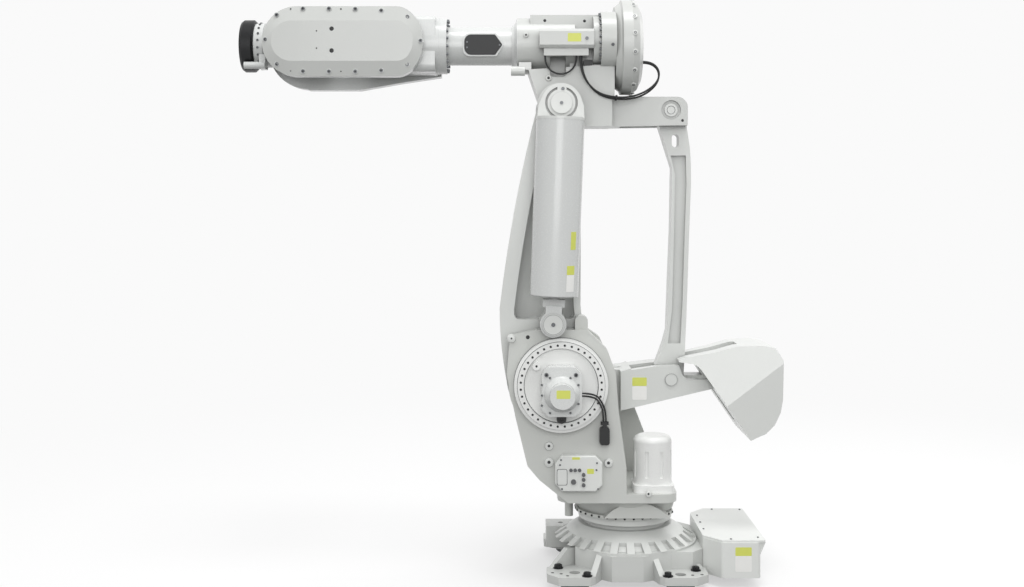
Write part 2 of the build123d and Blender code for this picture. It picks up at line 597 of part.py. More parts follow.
def make_parallel_rod():
    """The parallel rod: two eyes, a stem that bows to the rear, a recessed web and an opening near its top."""
    top = ARM_LENGTH
    front = [(78, 0), (84, 68), (39, 190), (15, 277), (4, 568), (-8, top - 692), (-14, top - 332),
             (64, top - 84), (64, top)]
    rear = [(-80, top), (-93, top - 50), (-118, top - 220), (-124, top - 312), (-124, top - 430),
            (-112, top - 750), (-101, 452), (-89, 161), (-80, 0)]
    shape = outline([(PX + x, PZ + z) for x, z in front + rear]) + Pos(PX, PZ) * Circle(80) + Pos(QX, QZ) * Circle(80)
    body = slab(shape, LINK_TOP, LINK_LOW)
    inner = outline([(PX + x, PZ + z) for x, z in
                     ((10, 200), (-14, 400), (-26, top - 690), (-32, top - 370), (-6, top - 260),
                      (-94, top - 260), (-98, top - 430), (-86, top - 750), (-75, 452), (-62, 200))])
    body -= slab(inner, LINK_TOP, LINK_TOP - 26)
    body -= slab(inner, LINK_LOW + 26, LINK_LOW)
    body -= slab(Pos(QX - 33, QZ - 174) * SlotOverall(76, 42, rotation=90), LINK_TOP + 1, LINK_LOW - 1)
    for x, z in ((PX, PZ), (QX, QZ)):
        body -= disc(x, z, LINK_PIN_R + RUN, LINK_TOP + 1, LINK_LOW - 1)
    return body


save("parallel_rod", make_parallel_rod())

# Upper arm: casting, gear dome, drive flange, motors and rear pin
SEAM_X = AX + SEAM_AHEAD
DOME_X1, DOME_X0 = AX + DOME_FRONT, AX + DOME_BACK


def make_upper_arm():
    """The upper arm: hub in the lower arm's fork, round gear housing and the rear fork."""
    web = [(SEAM_X - 60, FZ - 150), (AX + 118, AZ + 40), (AX + 100, AZ - 88), (AX - 60, AZ - 108),
           (AX - 300, AZ - 108), (AX - 300, AZ + 64), (DOME_X1 + 6, AZ + 64), (DOME_X1 + 6, FZ - 120)]
    body = slab(outline(web) + Pos(AX, AZ) * Circle(ELBOW_PIN_R + 62), UPPER_HALF, -UPPER_HALF)
    beam = outline([(AX - 130, AZ - 108), (QX - 96, QZ - 88), (QX - 96, QZ + 76), (AX - 130, AZ + 64)])
    beam = fillet(beam.vertices().sort_by(Axis.X)[:2].sort_by(Axis.Y)[-1], 62)
    body += slab(beam, EAR_NEAR, EAR_FAR)
    body -= block(QX - 200, QX + 285, LINK_LOW - EAR_GAP, LINK_TOP + EAR_GAP, QZ - 200, QZ + 200)
    body += rod_x(AX - 90, SEAM_X - RUN, 0, FZ, GEAR_R)
    body += block(DOME_X1, AX - 60, -REAR_HALF, REAR_HALF, FZ - 150, FZ + 60)
    body += block(DOME_X1, AX + 165, -REAR_HALF, REAR_HALF, FZ + 60, FZ + 166)
    body -= disc(AX, AZ, ELBOW_PIN_R + RUN, UPPER_HALF + 1, -UPPER_HALF - 1)
    pocket = Pos(AX + 8, AZ + 235) * RectangleRounded(92, 130, 22)
    body -= slab(pocket, UPPER_HALF + 20, UPPER_HALF - 95)
    body -= disc(QX, QZ, 56, EAR_NEAR + 1, EAR_NEAR - 12)
    return body - disc(QX, QZ, LINK_PIN_R + SEAT, EAR_NEAR + 1, EAR_FAR - 1)


save("upper_arm_casting", make_upper_arm())
save("upper_link_pin", disc(QX, QZ, LINK_PIN_R, EAR_NEAR - 5, EAR_FAR)
     + disc(QX, QZ, LINK_PIN_R + 5, EAR_NEAR - 4, EAR_NEAR - 12 + SEAT))


def make_dome():
    """The big round gear cover at the rear of the upper arm."""
    x0, x1 = DOME_X0, DOME_X1 - SEAT
    profile = [(x0, 0), (x0, DOME_R - 70), (x0 + 22, DOME_R - 26), (x0 + 60, DOME_R), (x1 - 38, DOME_R),
               (x1 - 30, DOME_R - 18), (x1, DOME_R - 40), (x1, 0)]
    return turned_x(profile, 0, FZ - 8)


save("gear_dome", make_dome())
DRIVE_Y, DRIVE_Z = 95.0, FZ + 20
DRIVE_FLANGE_X = DOME_X1 + 128


def make_motor_flange():
    """The bolted flange that carries the near motor, in two round steps."""
    ring = rod_x(DOME_X1 + SEAT, DOME_X1 + 85, DRIVE_Y, DRIVE_Z, 166)
    ring += rod_x(DOME_X1 + 84, DRIVE_FLANGE_X, DRIVE_Y, DRIVE_Z, 140)
    ring -= block(DOME_X1 - 5, DRIVE_FLANGE_X + 5, -400, REAR_HALF + SEAT, FZ - 400, FZ + 400)
    return ring - block(DOME_X1 - 5, DRIVE_FLANGE_X + 5, -400, UPPER_HALF + SEAT, FZ - 400, FZ - 119)


save("near_motor_flange", make_motor_flange())


def long_motor(y0, y1, z, x0, x1):
    """A motor along X with cut corners and a lower cable tray."""
    body = block(x0, x1, y0, y1, z - MOTOR_HALF, z + MOTOR_HALF)
    body = chamfer(body.edges().filter_by(Axis.X), 16)
    body += block(x0 + 30, x1 - 25, y0 + 10, y1 - 25, z - MOTOR_HALF - 42, z - MOTOR_HALF + 1)
    return body


MOTOR_Z = FZ + 18
save("near_arm_motor", long_motor(GEAR_R + SEAT, 250, MOTOR_Z, DRIVE_FLANGE_X + SEAT, AX + 115))
save("far_arm_motor", long_motor(-250, -GEAR_R - SEAT, MOTOR_Z, DOME_X1 + 60, AX + 115))
save("arm_drain_knob", rod_x(SEAM_X - 41, SEAM_X + 39, 130, FZ - 156, 28)
     + block(SEAM_X - 77, SEAM_X - 6, 100, 150, FZ - 149, FZ - 108)
     - rod_x(SEAM_X - 90, SEAM_X - RUN, 0, FZ, GEAR_R + SEAT))
TRAY_LOW = MOTOR_Z - MOTOR_HALF - 42 - SEAT
LOOP_RUN = [(468, 200, TRAY_LOW), (468, 200, 2910), (416, 200, 2858), (342, 200, 2858), (290, 200, 2910),
            (290, 200, TRAY_LOW)]
DOME_BACK_FACE = DOME_X0 - SEAT
DOME_RUN = [(262, 196, TRAY_LOW), (262, 196, 2890), (225, 190, 2800), (150, 178, 2732), (20, 162, 2712),
            (-95, 146, 2738), (-176, 132, 2806), (-189, 120, 2880), (-140, 116, 2929),
            (DOME_BACK_FACE, 116, 2929)]
DOME_RUN_TWO = [(270, 210, TRAY_LOW), (270, 210, 2895), (233, 204, 2808), (158, 192, 2742), (28, 176, 2722),
                (-87, 160, 2748), (-176, 146, 2814), (-189, 134, 2886), (-140, 130, 2935),
                (DOME_BACK_FACE, 130, 2935)]
save("motor_cable_loop", cord(LOOP_RUN, DRIVE_CABLE_R))
save("dome_cable_far", cord(DOME_RUN, DOME_CABLE_R))
save("dome_cable_near", cord(DOME_RUN_TWO, DOME_CABLE_R))

# Forearm: collar, tube, hatch plate, flange ring and wrist housing
COLLAR_X1 = SEAM_X + 34
RING_X = AX + RING_AHEAD


def make_collar():
    """The turning collar next to the seam, rounded towards the tube."""
    profile = [(SEAM_X, 0), (SEAM_X, GEAR_R), (SEAM_X + 5, GEAR_R), (SEAM_X + 12, GEAR_R - 24),
               (SEAM_X + 22, TUBE_R + 12), (COLLAR_X1, TUBE_R + 5), (COLLAR_X1, 0)]
    return turned_x(profile, 0, FZ)


save("forearm_collar", make_collar())
PLATE_MID = AX + 433


def hatch_sketch(grow=0.0):
    """The hatch plate's outline: round at its tool end and pointed at its rear end."""
    half = 58 + grow
    front, back = PLATE_MID + 110 + grow, PLATE_MID - 108 - grow
    points = [(back, FZ - 4), (back + 42, FZ - 4 + half), (front, FZ - 4 + half), (front, FZ - 4 - half),
              (back + 42, FZ - 4 - half)]
    shape = outline(points)
    shape = fillet(shape.vertices().sort_by(Axis.X)[-2:], 40)
    return fillet(shape.vertices().sort_by(Axis.X)[:3], 8)


def make_tube():
    """The forearm tube with the flat seat of its hatch plate."""
    body = rod_x(COLLAR_X1 + SEAT, RING_X - SEAT, 0, FZ, TUBE_R)
    return body + slab(hatch_sketch(8), TUBE_R + 4, 40)


save("forearm_tube", make_tube())
save("hatch_plate", slab(hatch_sketch(), TUBE_R + 10, TUBE_R + 4 + SEAT))
save("forearm_flange_ring", rod_x(RING_X, RING_X + RING_LENGTH, 0, FZ, RING_R))
NECK_X = RING_X + RING_LENGTH + SEAT
SIDE_X0 = AX + 773
COVER_SEAT = FORK_NEAR


def stadium(x0, radius):
    """A long plate outline that ends round about the wrist's tilt axis."""
    shape = Pos(WX, FZ) * Circle(radius)
    shape += Pos((x0 + 150 + WX) / 2, FZ) * Rectangle(WX - x0 - 150, 2 * radius)
    return shape + Pos(x0 + 150, FZ) * Ellipse(150, radius)


def far_sketch():
    """The far arm's outline, deeper than the near one, tapering to the neck."""
    points = [(NECK_X, FZ + RING_R), (NECK_X, FZ - RING_R), (AX + 927, FZ - 197), (WX - 309, FZ - FAR_END_R),
              (WX, FZ - FAR_END_R), (WX, FZ + FAR_END_R - 28), (WX - 309, FZ + FAR_END_R - 36),
              (AX + 927, FZ + 186)]
    return outline(points) + Pos(WX, FZ) * Circle(FAR_END_R - 6)


def make_wrist_housing():
    """The wrist housing: a round neck, a middle block and a fork of two unlike arms."""
    body = rod_x(NECK_X, NECK_X + 150, 0, FZ, RING_R + 2)
    middle = block(NECK_X + 20, WX - THROAT, -FORK_HALF, FORK_HALF, FZ - 160, FZ + 160)
    body += fillet(middle.edges().filter_by(Axis.X), 40)
    body += slab(stadium(SIDE_X0, NEAR_END_R), FORK_NEAR, FORK_HALF)
    body += slab(far_sketch(), -FORK_HALF, -FORK_FAR)
    return body


save("wrist_housing", make_wrist_housing())


def cover_face(rear, bulge, front_x, radius):
    """An outline that ends in half a circle towards the tool and in half an ellipse at its rear."""
    start, high, low = rear + bulge, FZ + radius, FZ - radius
    edges = [Line((start, high), (front_x, high)),
             ThreePointArc((front_x, high), (front_x + radius, FZ), (front_x, low)),
             Line((front_x, low), (start, low)),
             EllipticalCenterArc((start, FZ), bulge, radius, start_angle=90, arc_size=180)]
    return make_face(edges)


def make_side_cover():
    """The near cover of the wrist: a thin rim, a wide bevel and a flat panel in the middle."""
    outer = cover_face(SIDE_X0, 150, WX, NEAR_END_R)
    panel = cover_face(SIDE_X0 + 53, 90, WX + 29, PANEL_R)
    rim_y = COVER_SEAT + COVER_RIM
    cover = slab(outer, rim_y, COVER_SEAT + SEAT)
    sections = [side_plane(rim_y) * outer, side_plane(COVER_SEAT + COVER_THICK) * panel]
    return cover + loft(sections, ruled=True)


save("wrist_side_cover", make_side_cover())

# Wrist tilt housing and tool flange
TILT_X1 = WX + TILT_LENGTH + TILT_RING


def make_tilt():
    """The tilting wrist: a hub between the arms and a round housing for the tool drive."""
    body = disc(WX, FZ, TILT_R, FORK_HALF - RUN, RUN - FORK_HALF)
    body += rod_x(WX, WX + TILT_LENGTH, 0, FZ, TILT_BODY_R)
    body += rod_x(WX + TILT_LENGTH, TILT_X1, 0, FZ, 132)
    body += rod_x(WX + 200, WX + 320, 128, FZ - 123, 20)
    body += block(WX + 200, WX + 236, 50, 128, FZ - 143, FZ - 60)
    return body


save("wrist_tilt_housing", make_tilt())


def make_flange():
    """The round tool flange with its centring recess and bolt circle."""
    x0, x1 = TILT_X1 + RUN, TILT_X1 + FLANGE_THICK
    profile = [(x0, 0), (x0, FLANGE_R - 12), (x0 + 12, FLANGE_R), (x1 - 14, FLANGE_R), (x1, FLANGE_R - 10), (x1, 0)]
    body = turned_x(profile, 0, FZ)
    body -= rod_x(x1 - 10, x1 + 1, 0, FZ, SPIGOT_R)
    for index in range(FLANGE_BOLTS):
        turn = radians(index * 360 / FLANGE_BOLTS + 30)
        body -= rod_x(x1 - 30, x1 + 1, BOLT_CIRCLE_R * cos(turn), FZ + BOLT_CIRCLE_R * sin(turn), FLANGE_BOLT_R)
    return body


save("tool_flange", make_flange())
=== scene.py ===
"""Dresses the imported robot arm: paints, screws, plates, cables, floor, lamps and camera.

Lengths are metres in the frame of the solid model: X forward to the tool, Y to the side
that faces the camera, Z up, with the origin on the floor under the turning axis.
"""

import math

import bmesh
import bpy
from mathutils import Matrix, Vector
import numpy as np


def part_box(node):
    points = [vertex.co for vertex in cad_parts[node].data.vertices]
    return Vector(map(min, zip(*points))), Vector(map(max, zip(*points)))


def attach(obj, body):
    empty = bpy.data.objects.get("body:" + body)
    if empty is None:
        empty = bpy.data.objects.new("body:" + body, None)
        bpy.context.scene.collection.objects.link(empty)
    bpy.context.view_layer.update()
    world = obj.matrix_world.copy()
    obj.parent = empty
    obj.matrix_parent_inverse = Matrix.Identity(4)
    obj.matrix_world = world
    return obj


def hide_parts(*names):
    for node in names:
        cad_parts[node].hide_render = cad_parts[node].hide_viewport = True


bl_info = {
    "name": "Robot Arm Dressing",
    "version": (1, 0, 0),
    "blender": (4, 5, 0),
    "location": "3D View > Sidebar > Robot Arm",
    "description": "Paints and fits out the solid model of a parallel-link robot arm",
    "category": "Object",
}

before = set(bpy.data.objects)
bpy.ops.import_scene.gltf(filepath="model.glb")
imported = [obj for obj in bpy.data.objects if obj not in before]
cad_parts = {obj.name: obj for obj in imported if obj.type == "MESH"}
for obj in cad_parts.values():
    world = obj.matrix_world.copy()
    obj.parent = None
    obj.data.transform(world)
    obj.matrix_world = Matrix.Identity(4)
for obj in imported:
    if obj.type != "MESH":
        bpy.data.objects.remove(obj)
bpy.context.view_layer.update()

# Centre lines of the arm, as (X, Z)
SHOULDER = (0.385, 1.125)
ELBOW = (0.385, 2.675)
LINK_FOOT = (-0.260, 1.113)
SPRING_FOOT = (0.430, 1.465)
FOREARM_Z = 3.038
SPRING_LEAN = math.atan2(ELBOW[0] - SPRING_FOOT[0], ELBOW[1] - SPRING_FOOT[1])
NEAR_SIDE = (0.0, 1.0, 0.0)
UP = (0.0, 0.0, 1.0)

# The photograph's pinhole: its place, its focal length, the picture's size and the pixel straight ahead
CAMERA_AT = (0.655, 7.27, 2.145)
FOCAL_PX = 1250.0
PICTURE_PX = (1024.0, 587.0)
AHEAD_PX = (512.0, 200.0)

# Y at which small parts start on the near faces
CHEEK_FACE = 0.3598
DRIVE_MOTOR_FACE = 0.5198
UPPER_ARM_FACE = 0.1188
GEAR_SIDE = 0.1560
WEB_FACE = 0.1598
ARM_MOTOR_FACE = 0.2498
GLAND_FACE = 0.120
FORK_EAR_FACE = 0.0848
SPRING_HEAD_FACE = 0.4478
LINK_ARM_FACE = 0.0849
BOX_FACE = 0.3649

# The spring drum: Y of its axis, its radius, and the depth at which its patches are seen
DRUM_Y, DRUM_R, DRUM_SEEN_Y = 0.4, 0.1325, 0.51

# The gear dome: the height of its axis, its rim, and its rear face
DOME_Z = FOREARM_Z - 0.008
DOME_RIM_X, DOME_RIM_R = -0.036, 0.2735
DOME_REAR_X = -0.0888

# How far out the dark discs of painted hole shade on the cast bosses stand: 0.2 mm less than the boss is tall
GEAR_BOSS_TOP, WEB_BOSS_TOP, CHEEK_BOSS_TOP = 0.0098, 0.0078, 0.0118

# Circles of screws and rings: the centre or plane, and the radius
FOREARM_RING, FOREARM_RING_R = (1.0302, 0.0, FOREARM_Z), 0.147
TILT_RING_X, TILT_RING_R = 2.109, 0.1318
DRIVE_RING_R = 0.2225
MOTOR_FLANGE, MOTOR_FLANGE_R = (0.1502, 0.095, FOREARM_Z + 0.020), 0.153
# The motor flange keeps the screws beyond the first Y, and those below the Z only beyond the second
FLANGE_MIN_Y, FLANGE_LOW_Z, FLANGE_LOW_Y = 0.128, FOREARM_Z - 0.112, 0.172
# The turntable's circle of screws stops short of a rear X
TURNTABLE_R, TURNTABLE_Z, TURNTABLE_REAR_X = 0.2878, 0.3622, -0.262
# Grey rings of painted shadow in the seams of the shoulder drives: outer radius, inner radius and Y
DRIVE_SEAMS = ((0.2615, 0.2590, 0.3600), (0.2425, 0.2400, 0.4050), (0.2053, 0.2020, 0.4020))

# Other places of small parts, in metres
DRIVE_PLUG = (SHOULDER[0], 0.4498, 0.953)
DISC_HOLE_SHADE = (SHOULDER[0] + 0.136, 0.4338, SHOULDER[1] + 0.110)
MOTOR_SIDE_SCREW, MOTOR_SIDE_AXIS = (0.0885, 0.2556, 3.019), (0, 0.972, -0.235)
CABLE_TIE, CABLE_TIE_AXIS = (0.064, 0.1745, 2.7245), (-0.981, -0.121, -0.151)
UPPER_LINK_PIN = (ELBOW[0] - 0.645, ELBOW[1] - 0.012)
FLOOR_BOLTS = ((0.398, 0.306), (0.245, 0.458), (-0.195, 0.462), (-0.362, 0.352))
PAD_HOLES = ((0.309, 0.390), (-0.268, 0.428))
PAD_SMALL_HOLES = ((0.432, 0.395), (0.385, 0.415), (0.352, 0.452), (-0.332, 0.440), (-0.385, 0.430))
FLOOR_BOLT_Z, PAD_HOLE_Z, PAD_TOP_Z = 0.0952, 0.0625, 0.0949
LID_SCREWS = ((-0.449, -0.188), (-0.444, -0.03), (-0.4405, 0.119), (-0.728, -0.329), (-0.717, 0.298),
              (-0.56, 0.335), (-0.56, -0.335))

# Pixels of the photograph, as (across, down), at which small parts are seen
WRIST_SCREWS_PX = ((276.8, 15), (303, 8.7), (329, 8.7), (355.3, 9), (381.3, 10.6), (407.5, 16.9),
                   (420.5, 40.7), (407.2, 64.4), (381.3, 70.5), (355.3, 71.5), (329, 71.5), (303, 71.3),
                   (276.9, 64.1), (265.3, 39.4))
RIM_PIN_HOLES_PX = ((290.6, 8.9), (340.9, 8.9), (340.9, 71.3), (290.6, 70.7))
COVER_PIN_HOLES_PX = ((316.5, 30.8), (316.5, 48.1))
COVER_HOLE_SHADES_PX = ((331.6, 28.6), (331.6, 50.5))
HATCH_SCREWS_PX = ((467, 42), (467, 47.4), (499.7, 45))
MOTOR_SCREWS_PX = ((546.5, 375), (576, 375))
MOTOR_SMALL_SCREWS_PX = ((541.8, 385), (541.8, 395.5), (541.8, 405.5), (578.5, 385), (578.5, 404), (550, 378),
                         (570.5, 378), (550, 413), (570.5, 413))
ARM_HOLE_SHADES_PX = ((544.8, 20.6), (584.5, 21))
GEAR_BOSS_PX = (526, 35)
WEB_BOSS_PX = (548.5, 78)
MOTOR_SIDE_SCREW_PX = (587, 38)
GLAND_SHADOW_PX = (587.5, 63.5)
FORK_HOLE_SHADE_PX = (682.5, 120.5)
SPRING_NIPPLE_PX = (563, 88.5)
CHEEK_HOLE_SHADE_PX = (527.8, 337.2)
PANEL_HATCH_PX = ((557.2, 469.5), (567, 485))
PANEL_SCREWS_PX = ((561, 460), (597, 463), (598, 489), (562, 489), (560, 465), (596.5, 470))
# Bosses of the near cheek: pixel, radius, and the radius of the dark disc of painted hole shade on top
CHEEK_BOSSES_PX = (((549, 446), 0.022, 0.0075), ((549, 462.3), 0.025, 0.009), ((608.5, 463), 0.023, 0.0085),
                   ((648.5, 494), 0.016, 0.006), ((511.5, 338.5), 0.022, 0.005))
# Plain patches: left, top, right and bottom pixel
PATCH_PX = {
    "arm_motor_patch": (567.7, 33.0, 581.3, 41.5), "drive_motor_patch": (556.5, 390.5, 570.5, 399.0),
    "link_patch_top": (632.2, 377.4, 646.8, 386.0), "link_patch_low": (632.2, 386.2, 646.8, 399.8),
    "panel_patch": (587.0, 468.8, 594.0, 474.0), "panel_strip": (572.0, 457.2, 580.0, 459.8),
    "box_patch_top": (735.3, 547.3, 751.8, 556.0), "box_patch_low": (735.3, 556.2, 751.8, 572.0),
}
# Patches round the spring drum: top and bottom pixel row, and the degrees they span towards the rear
DRUM_PATCH_PX = {"spring_patch_top": ((232, 250), (35, 52)), "spring_patch_mid": ((266, 275), (27, 50)),
                 "spring_patch_low": ((275.3, 292), (27, 50))}

# Tones of the white backdrop, as sRGB hex codes
BACKDROP = "#FAFAFA"
FLOOR_SEEN, FLOOR_SCATTER = "#F4F4F4", "#585858"
# Half the floor's width, in metres
FLOOR_HALF = 30.0

# Colour sockets of a mix node, by number, because its socket names repeat
MIX_FIRST, MIX_SECOND, MIX_RESULT = 6, 7, 2

# Cable routes, as points in metres: each leaves its housing straight and ends straight
DRIVE_OUTER = [(0.27695, 0.478, 1.094), (0.200, 0.478, 1.094), (0.158, 0.430, 1.030), (0.138, 0.390, 0.975),
               (0.138, 0.390, 0.92505)]
DRIVE_INNER = [(0.27695, 0.476, 1.079), (0.205, 0.476, 1.079), (0.166, 0.434, 1.019), (0.152, 0.390, 0.970),
               (0.152, 0.390, 0.92505)]
MOTOR_LOOP = [(0.468, 0.200, 2.95995), (0.468, 0.200, 2.910), (0.416, 0.200, 2.858), (0.342, 0.200, 2.858),
              (0.290, 0.200, 2.910), (0.290, 0.200, 2.95995)]
DOME_FAR = [(0.262, 0.196, 2.95995), (0.262, 0.196, 2.890), (0.225, 0.190, 2.800), (0.150, 0.178, 2.732),
            (0.020, 0.162, 2.712), (-0.095, 0.146, 2.738), (-0.176, 0.132, 2.806), (-0.189, 0.120, 2.880),
            (-0.140, 0.116, 2.929), (-0.08905, 0.116, 2.929)]
DOME_NEAR = [(0.270, 0.210, 2.95995), (0.270, 0.210, 2.895), (0.233, 0.204, 2.808), (0.158, 0.192, 2.742),
             (0.028, 0.176, 2.722), (-0.087, 0.160, 2.748), (-0.176, 0.146, 2.814), (-0.189, 0.134, 2.886),
             (-0.140, 0.130, 2.935), (-0.08905, 0.130, 2.935)]
DRIVE_CABLE_R, DOME_CABLE_R = 0.0050, 0.0055

# Edges of the small parts that turn more than this are drawn sharp
SHARP_ANGLE = math.radians(35.0)


# Shapes worked out as whole arrays

def facing(axis, spin=0.0):
    """A turning matrix: its third column is the axis, the others level and upright, then spun about it."""
    third = np.array(axis, float) / np.linalg.norm(axis)
    up = UP if abs(third[2]) < 0.9 else (1.0, 0.0, 0.0)
    first = np.cross(up, third)
    first /= np.linalg.norm(first)
    second = np.cross(third, first)
    c, s = math.cos(spin), math.sin(spin)
    return np.column_stack((c * first + s * second, c * second - s * first, third))


def capped(ring, first, last):
    """Points and faces of a stack of rings, closed by one point at each end.

    Point k of a ring joins point k + 1 and the same two of the next ring in a quad; the first and last ring
    join their end point in triangles.
    """
    count, steps = ring.shape[:2]
    points = np.vstack((ring.reshape(-1, 3), [first, last]))
    here = np.arange(steps)
    after = (here + 1) % steps
    low = np.arange(count - 1)[:, None] * steps
    quads = np.stack((low + here, low + after, low + steps + after, low + steps + here), axis=-1)
    start = np.stack((np.full(steps, count * steps), after, here), axis=-1)
    top = (count - 1) * steps
    end = np.stack((np.full(steps, count * steps + 1), top + here, top + after), axis=-1)
    return points, [quads.reshape(-1, 4), start, end]


def turned(profile, steps=24):
    """Points and faces of a turned shape.

    Each profile row is (radius, height, hexness). The row's radius is carried round a full turn, and
    multiplied by 1 + hexness * (1 / cos(turn folded into one sixth) - 1): round at 0 and a hexagon at 1.
    The first and last rows have radius 0 and are one point each.
    """
    rows = np.array([(*row, 0.0)[:3] for row in profile])
    turn = np.linspace(0.0, 2 * math.pi, steps, endpoint=False)
    sixth = np.abs((turn + math.pi / 6) % (math.pi / 3) - math.pi / 6)
    swell = 1.0 + rows[1:-1, 2:3] * (1.0 / np.cos(sixth)[None, :] - 1.0)
    radius = rows[1:-1, 0:1] * swell
    ring = np.stack((radius * np.cos(turn), radius * np.sin(turn),
                     np.broadcast_to(rows[1:-1, 1:2], radius.shape)), axis=-1)
    return capped(ring, (0, 0, rows[0, 1]), (0, 0, rows[-1, 1]))


def ringed(profile, steps=40):
    """Points and faces of a ring: a closed profile of (radius, height) rows carried round a full turn."""
    rows = np.array(profile, float)
    turn = np.linspace(0.0, 2 * math.pi, steps, endpoint=False)
    points = np.stack((rows[:, :1] * np.cos(turn), rows[:, :1] * np.sin(turn),
                       np.broadcast_to(rows[:, 1:], (len(rows), steps))), axis=-1).reshape(-1, 3)
    here = np.arange(steps)
    after = (here + 1) % steps
    level = np.arange(len(rows))[:, None] * steps
    above = np.roll(np.arange(len(rows)), -1)[:, None] * steps
    quads = np.stack((level + here, level + after, above + after, above + here), axis=-1).reshape(-1, 4)
    return points, [quads]


def tile(half_x, half_y, height, power=6.0, steps=48, edge=0.0006):
    """Points and faces of a thin plate with a superellipse rim.

    The rim at turn t is half_x * sign(cos t) * |cos t| ** (2 / power) along X, and the like with half_y and
    sin along Y. Rows repeat it up the sides and shrink it at the top.
    """
    turn = np.linspace(0.0, 2 * math.pi, steps, endpoint=False)
    unit = np.stack((np.sign(np.cos(turn)) * np.abs(np.cos(turn)) ** (2 / power),
                     np.sign(np.sin(turn)) * np.abs(np.sin(turn)) ** (2 / power)), axis=-1)
    rows = ((0.0, 0.0), (edge, 0.0), (edge, height - edge), (2 * edge, height))
    ring = np.stack([np.column_stack((unit[:, 0] * (half_x - inset), unit[:, 1] * (half_y - inset),
                                      np.full(steps, level))) for inset, level in rows[1:]])
    return capped(ring, (0, 0, 0), (0, 0, height))


def repeated(shape, places):
    """The shape turned and moved to every place, each given as (point, axis) or (point, axis, spin)."""
    points, faces = shape
    turns = np.stack([facing(axis, *spin) for _, axis, *spin in places])
    spots = np.array([point for point, *_ in places], float)
    moved = np.einsum("nij,kj->nki", turns, points) + spots[:, None, :]
    shift = (np.arange(len(places)) * len(points))[:, None, None]
    return moved.reshape(-1, 3), [(part[None] + shift).reshape(-1, part.shape[1]) for part in faces]


def joined(*shapes):
    """Several shapes as one, their face numbers moved on."""
    points, faces, start = [], [], 0
    for spots, parts in shapes:
        points.append(spots)
        faces += [part + start for part in parts]
        start += len(spots)
    return np.vstack(points), faces


def piece(name, shape, body, finish):
    """Put a shape into the scene as one object with a named finish, riding on a body of the arm."""
    points, faces = shape
    mesh = bpy.data.meshes.new(name)
    mesh.from_pydata(points.tolist(), [], [row for part in faces for row in part.tolist()])
    work = bmesh.new()
    work.from_mesh(mesh)
    bmesh.ops.remove_doubles(work, verts=work.verts, dist=1e-6)
    bmesh.ops.recalc_face_normals(work, faces=work.faces)
    work.to_mesh(mesh)
    work.free()
    mesh.shade_smooth()
    mesh.set_sharp_from_angle(angle=SHARP_ANGLE)
    mesh.materials.append(finishes()[finish])
    made = bpy.data.objects.new(name, mesh)
    bpy.context.scene.collection.objects.link(made)
    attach(made, body)


def fit(name, shape, places, body, finish):
    """Put one shape into the scene at every place, all as one object."""
    piece(name, repeated(shape, places), body, finish)


def cable(node, route, radius, body, finish):
    """Draw a round cable in place of its solid.

    Its line is one quadratic spline with the route's points as control points; it starts and ends in them.
    """
    line = bpy.data.curves.new(node + "_sheath", "CURVE")
    line.dimensions = "3D"
    line.bevel_depth = radius
    line.bevel_resolution = 6
    line.use_fill_caps = True
    spline = line.splines.new("NURBS")
    spline.points.add(len(route) - 1)
    spline.points.foreach_set("co", np.column_stack((route, np.ones(len(route)))).ravel())
    spline.order_u = 3
    spline.use_endpoint_u = True
    spline.resolution_u = 16
    line.materials.append(finish)
    made = bpy.data.objects.new(node + "_sheath", line)
    bpy.context.scene.collection.objects.link(made)
    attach(made, body)
    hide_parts(node)


def seen(px, py, y):
    """The point at depth Y that the photograph shows at a pixel: the camera's pinhole turned round."""
    x, away, z = CAMERA_AT
    per_metre = FOCAL_PX / (away - y)
    return (x - (px - AHEAD_PX[0]) / per_metre, y, z - (py - AHEAD_PX[1]) / per_metre)


def at_pixels(spots, y):
    """Places on a near face at depth Y, where the photograph shows these pixels."""
    return [(seen(px, py, y), NEAR_SIDE) for px, py in spots]


def circle_places(centre, radius, count, axis, first=0.0, spin=0.0):
    """Places evenly round a circle: the centre plus the radius carried round the axis from a first turn."""
    turn = first + np.arange(count) * 2 * math.pi / count
    frame_axes = facing(axis)
    spots = np.array(centre) + radius * (np.cos(turn)[:, None] * frame_axes[:, 0]
                                         + np.sin(turn)[:, None] * frame_axes[:, 1])
    return [(spot, axis, spin) for spot in spots]


def outward_places(x, radius, z, count):
    """Places evenly round a cylinder along X, facing outward, the first half a step up from its near side.

    At turn t the point is x, radius * cos t, z + radius * sin t, and the axis is 0, cos t, sin t.
    """
    turn = (np.arange(count) + 0.5) * 2 * math.pi / count
    return [((x, radius * math.cos(t), z + radius * math.sin(t)), (0, math.cos(t), math.sin(t)))
            for t in turn]


# Finishes

def linear(code):
    """An sRGB hex colour as linear red, green, blue and alpha."""
    values = [int(code[i:i + 2], 16) / 255 for i in (1, 3, 5)]
    return tuple(v / 12.92 if v <= 0.04045 else ((v + 0.055) / 1.055) ** 2.4 for v in values) + (1.0,)


def add(tree, kind, settings=None, links=None):
    """Add one node, with its settings by property or input name and its links as input: output socket."""
    made = tree.nodes.new(kind)
    for key, value in (settings or {}).items():
        if isinstance(key, str) and hasattr(made, key):
            setattr(made, key, value)
        else:
            made.inputs[key].default_value = value
    for key, source in (links or {}).items():
        tree.links.new(source, made.inputs[key])
    return made


def surface(name):
    """A new node material with its shader and output, and the object coordinates to draw patterns in."""
    made = bpy.data.materials.new(name)
    made.use_nodes = True
    tree = made.node_tree
    tree.nodes.clear()
    shader = add(tree, "ShaderNodeBsdfPrincipled")
    add(tree, "ShaderNodeOutputMaterial", links={"Surface": shader.outputs[0]})
    where = add(tree, "ShaderNodeTexCoord").outputs["Object"]
    return made, tree, shader, where


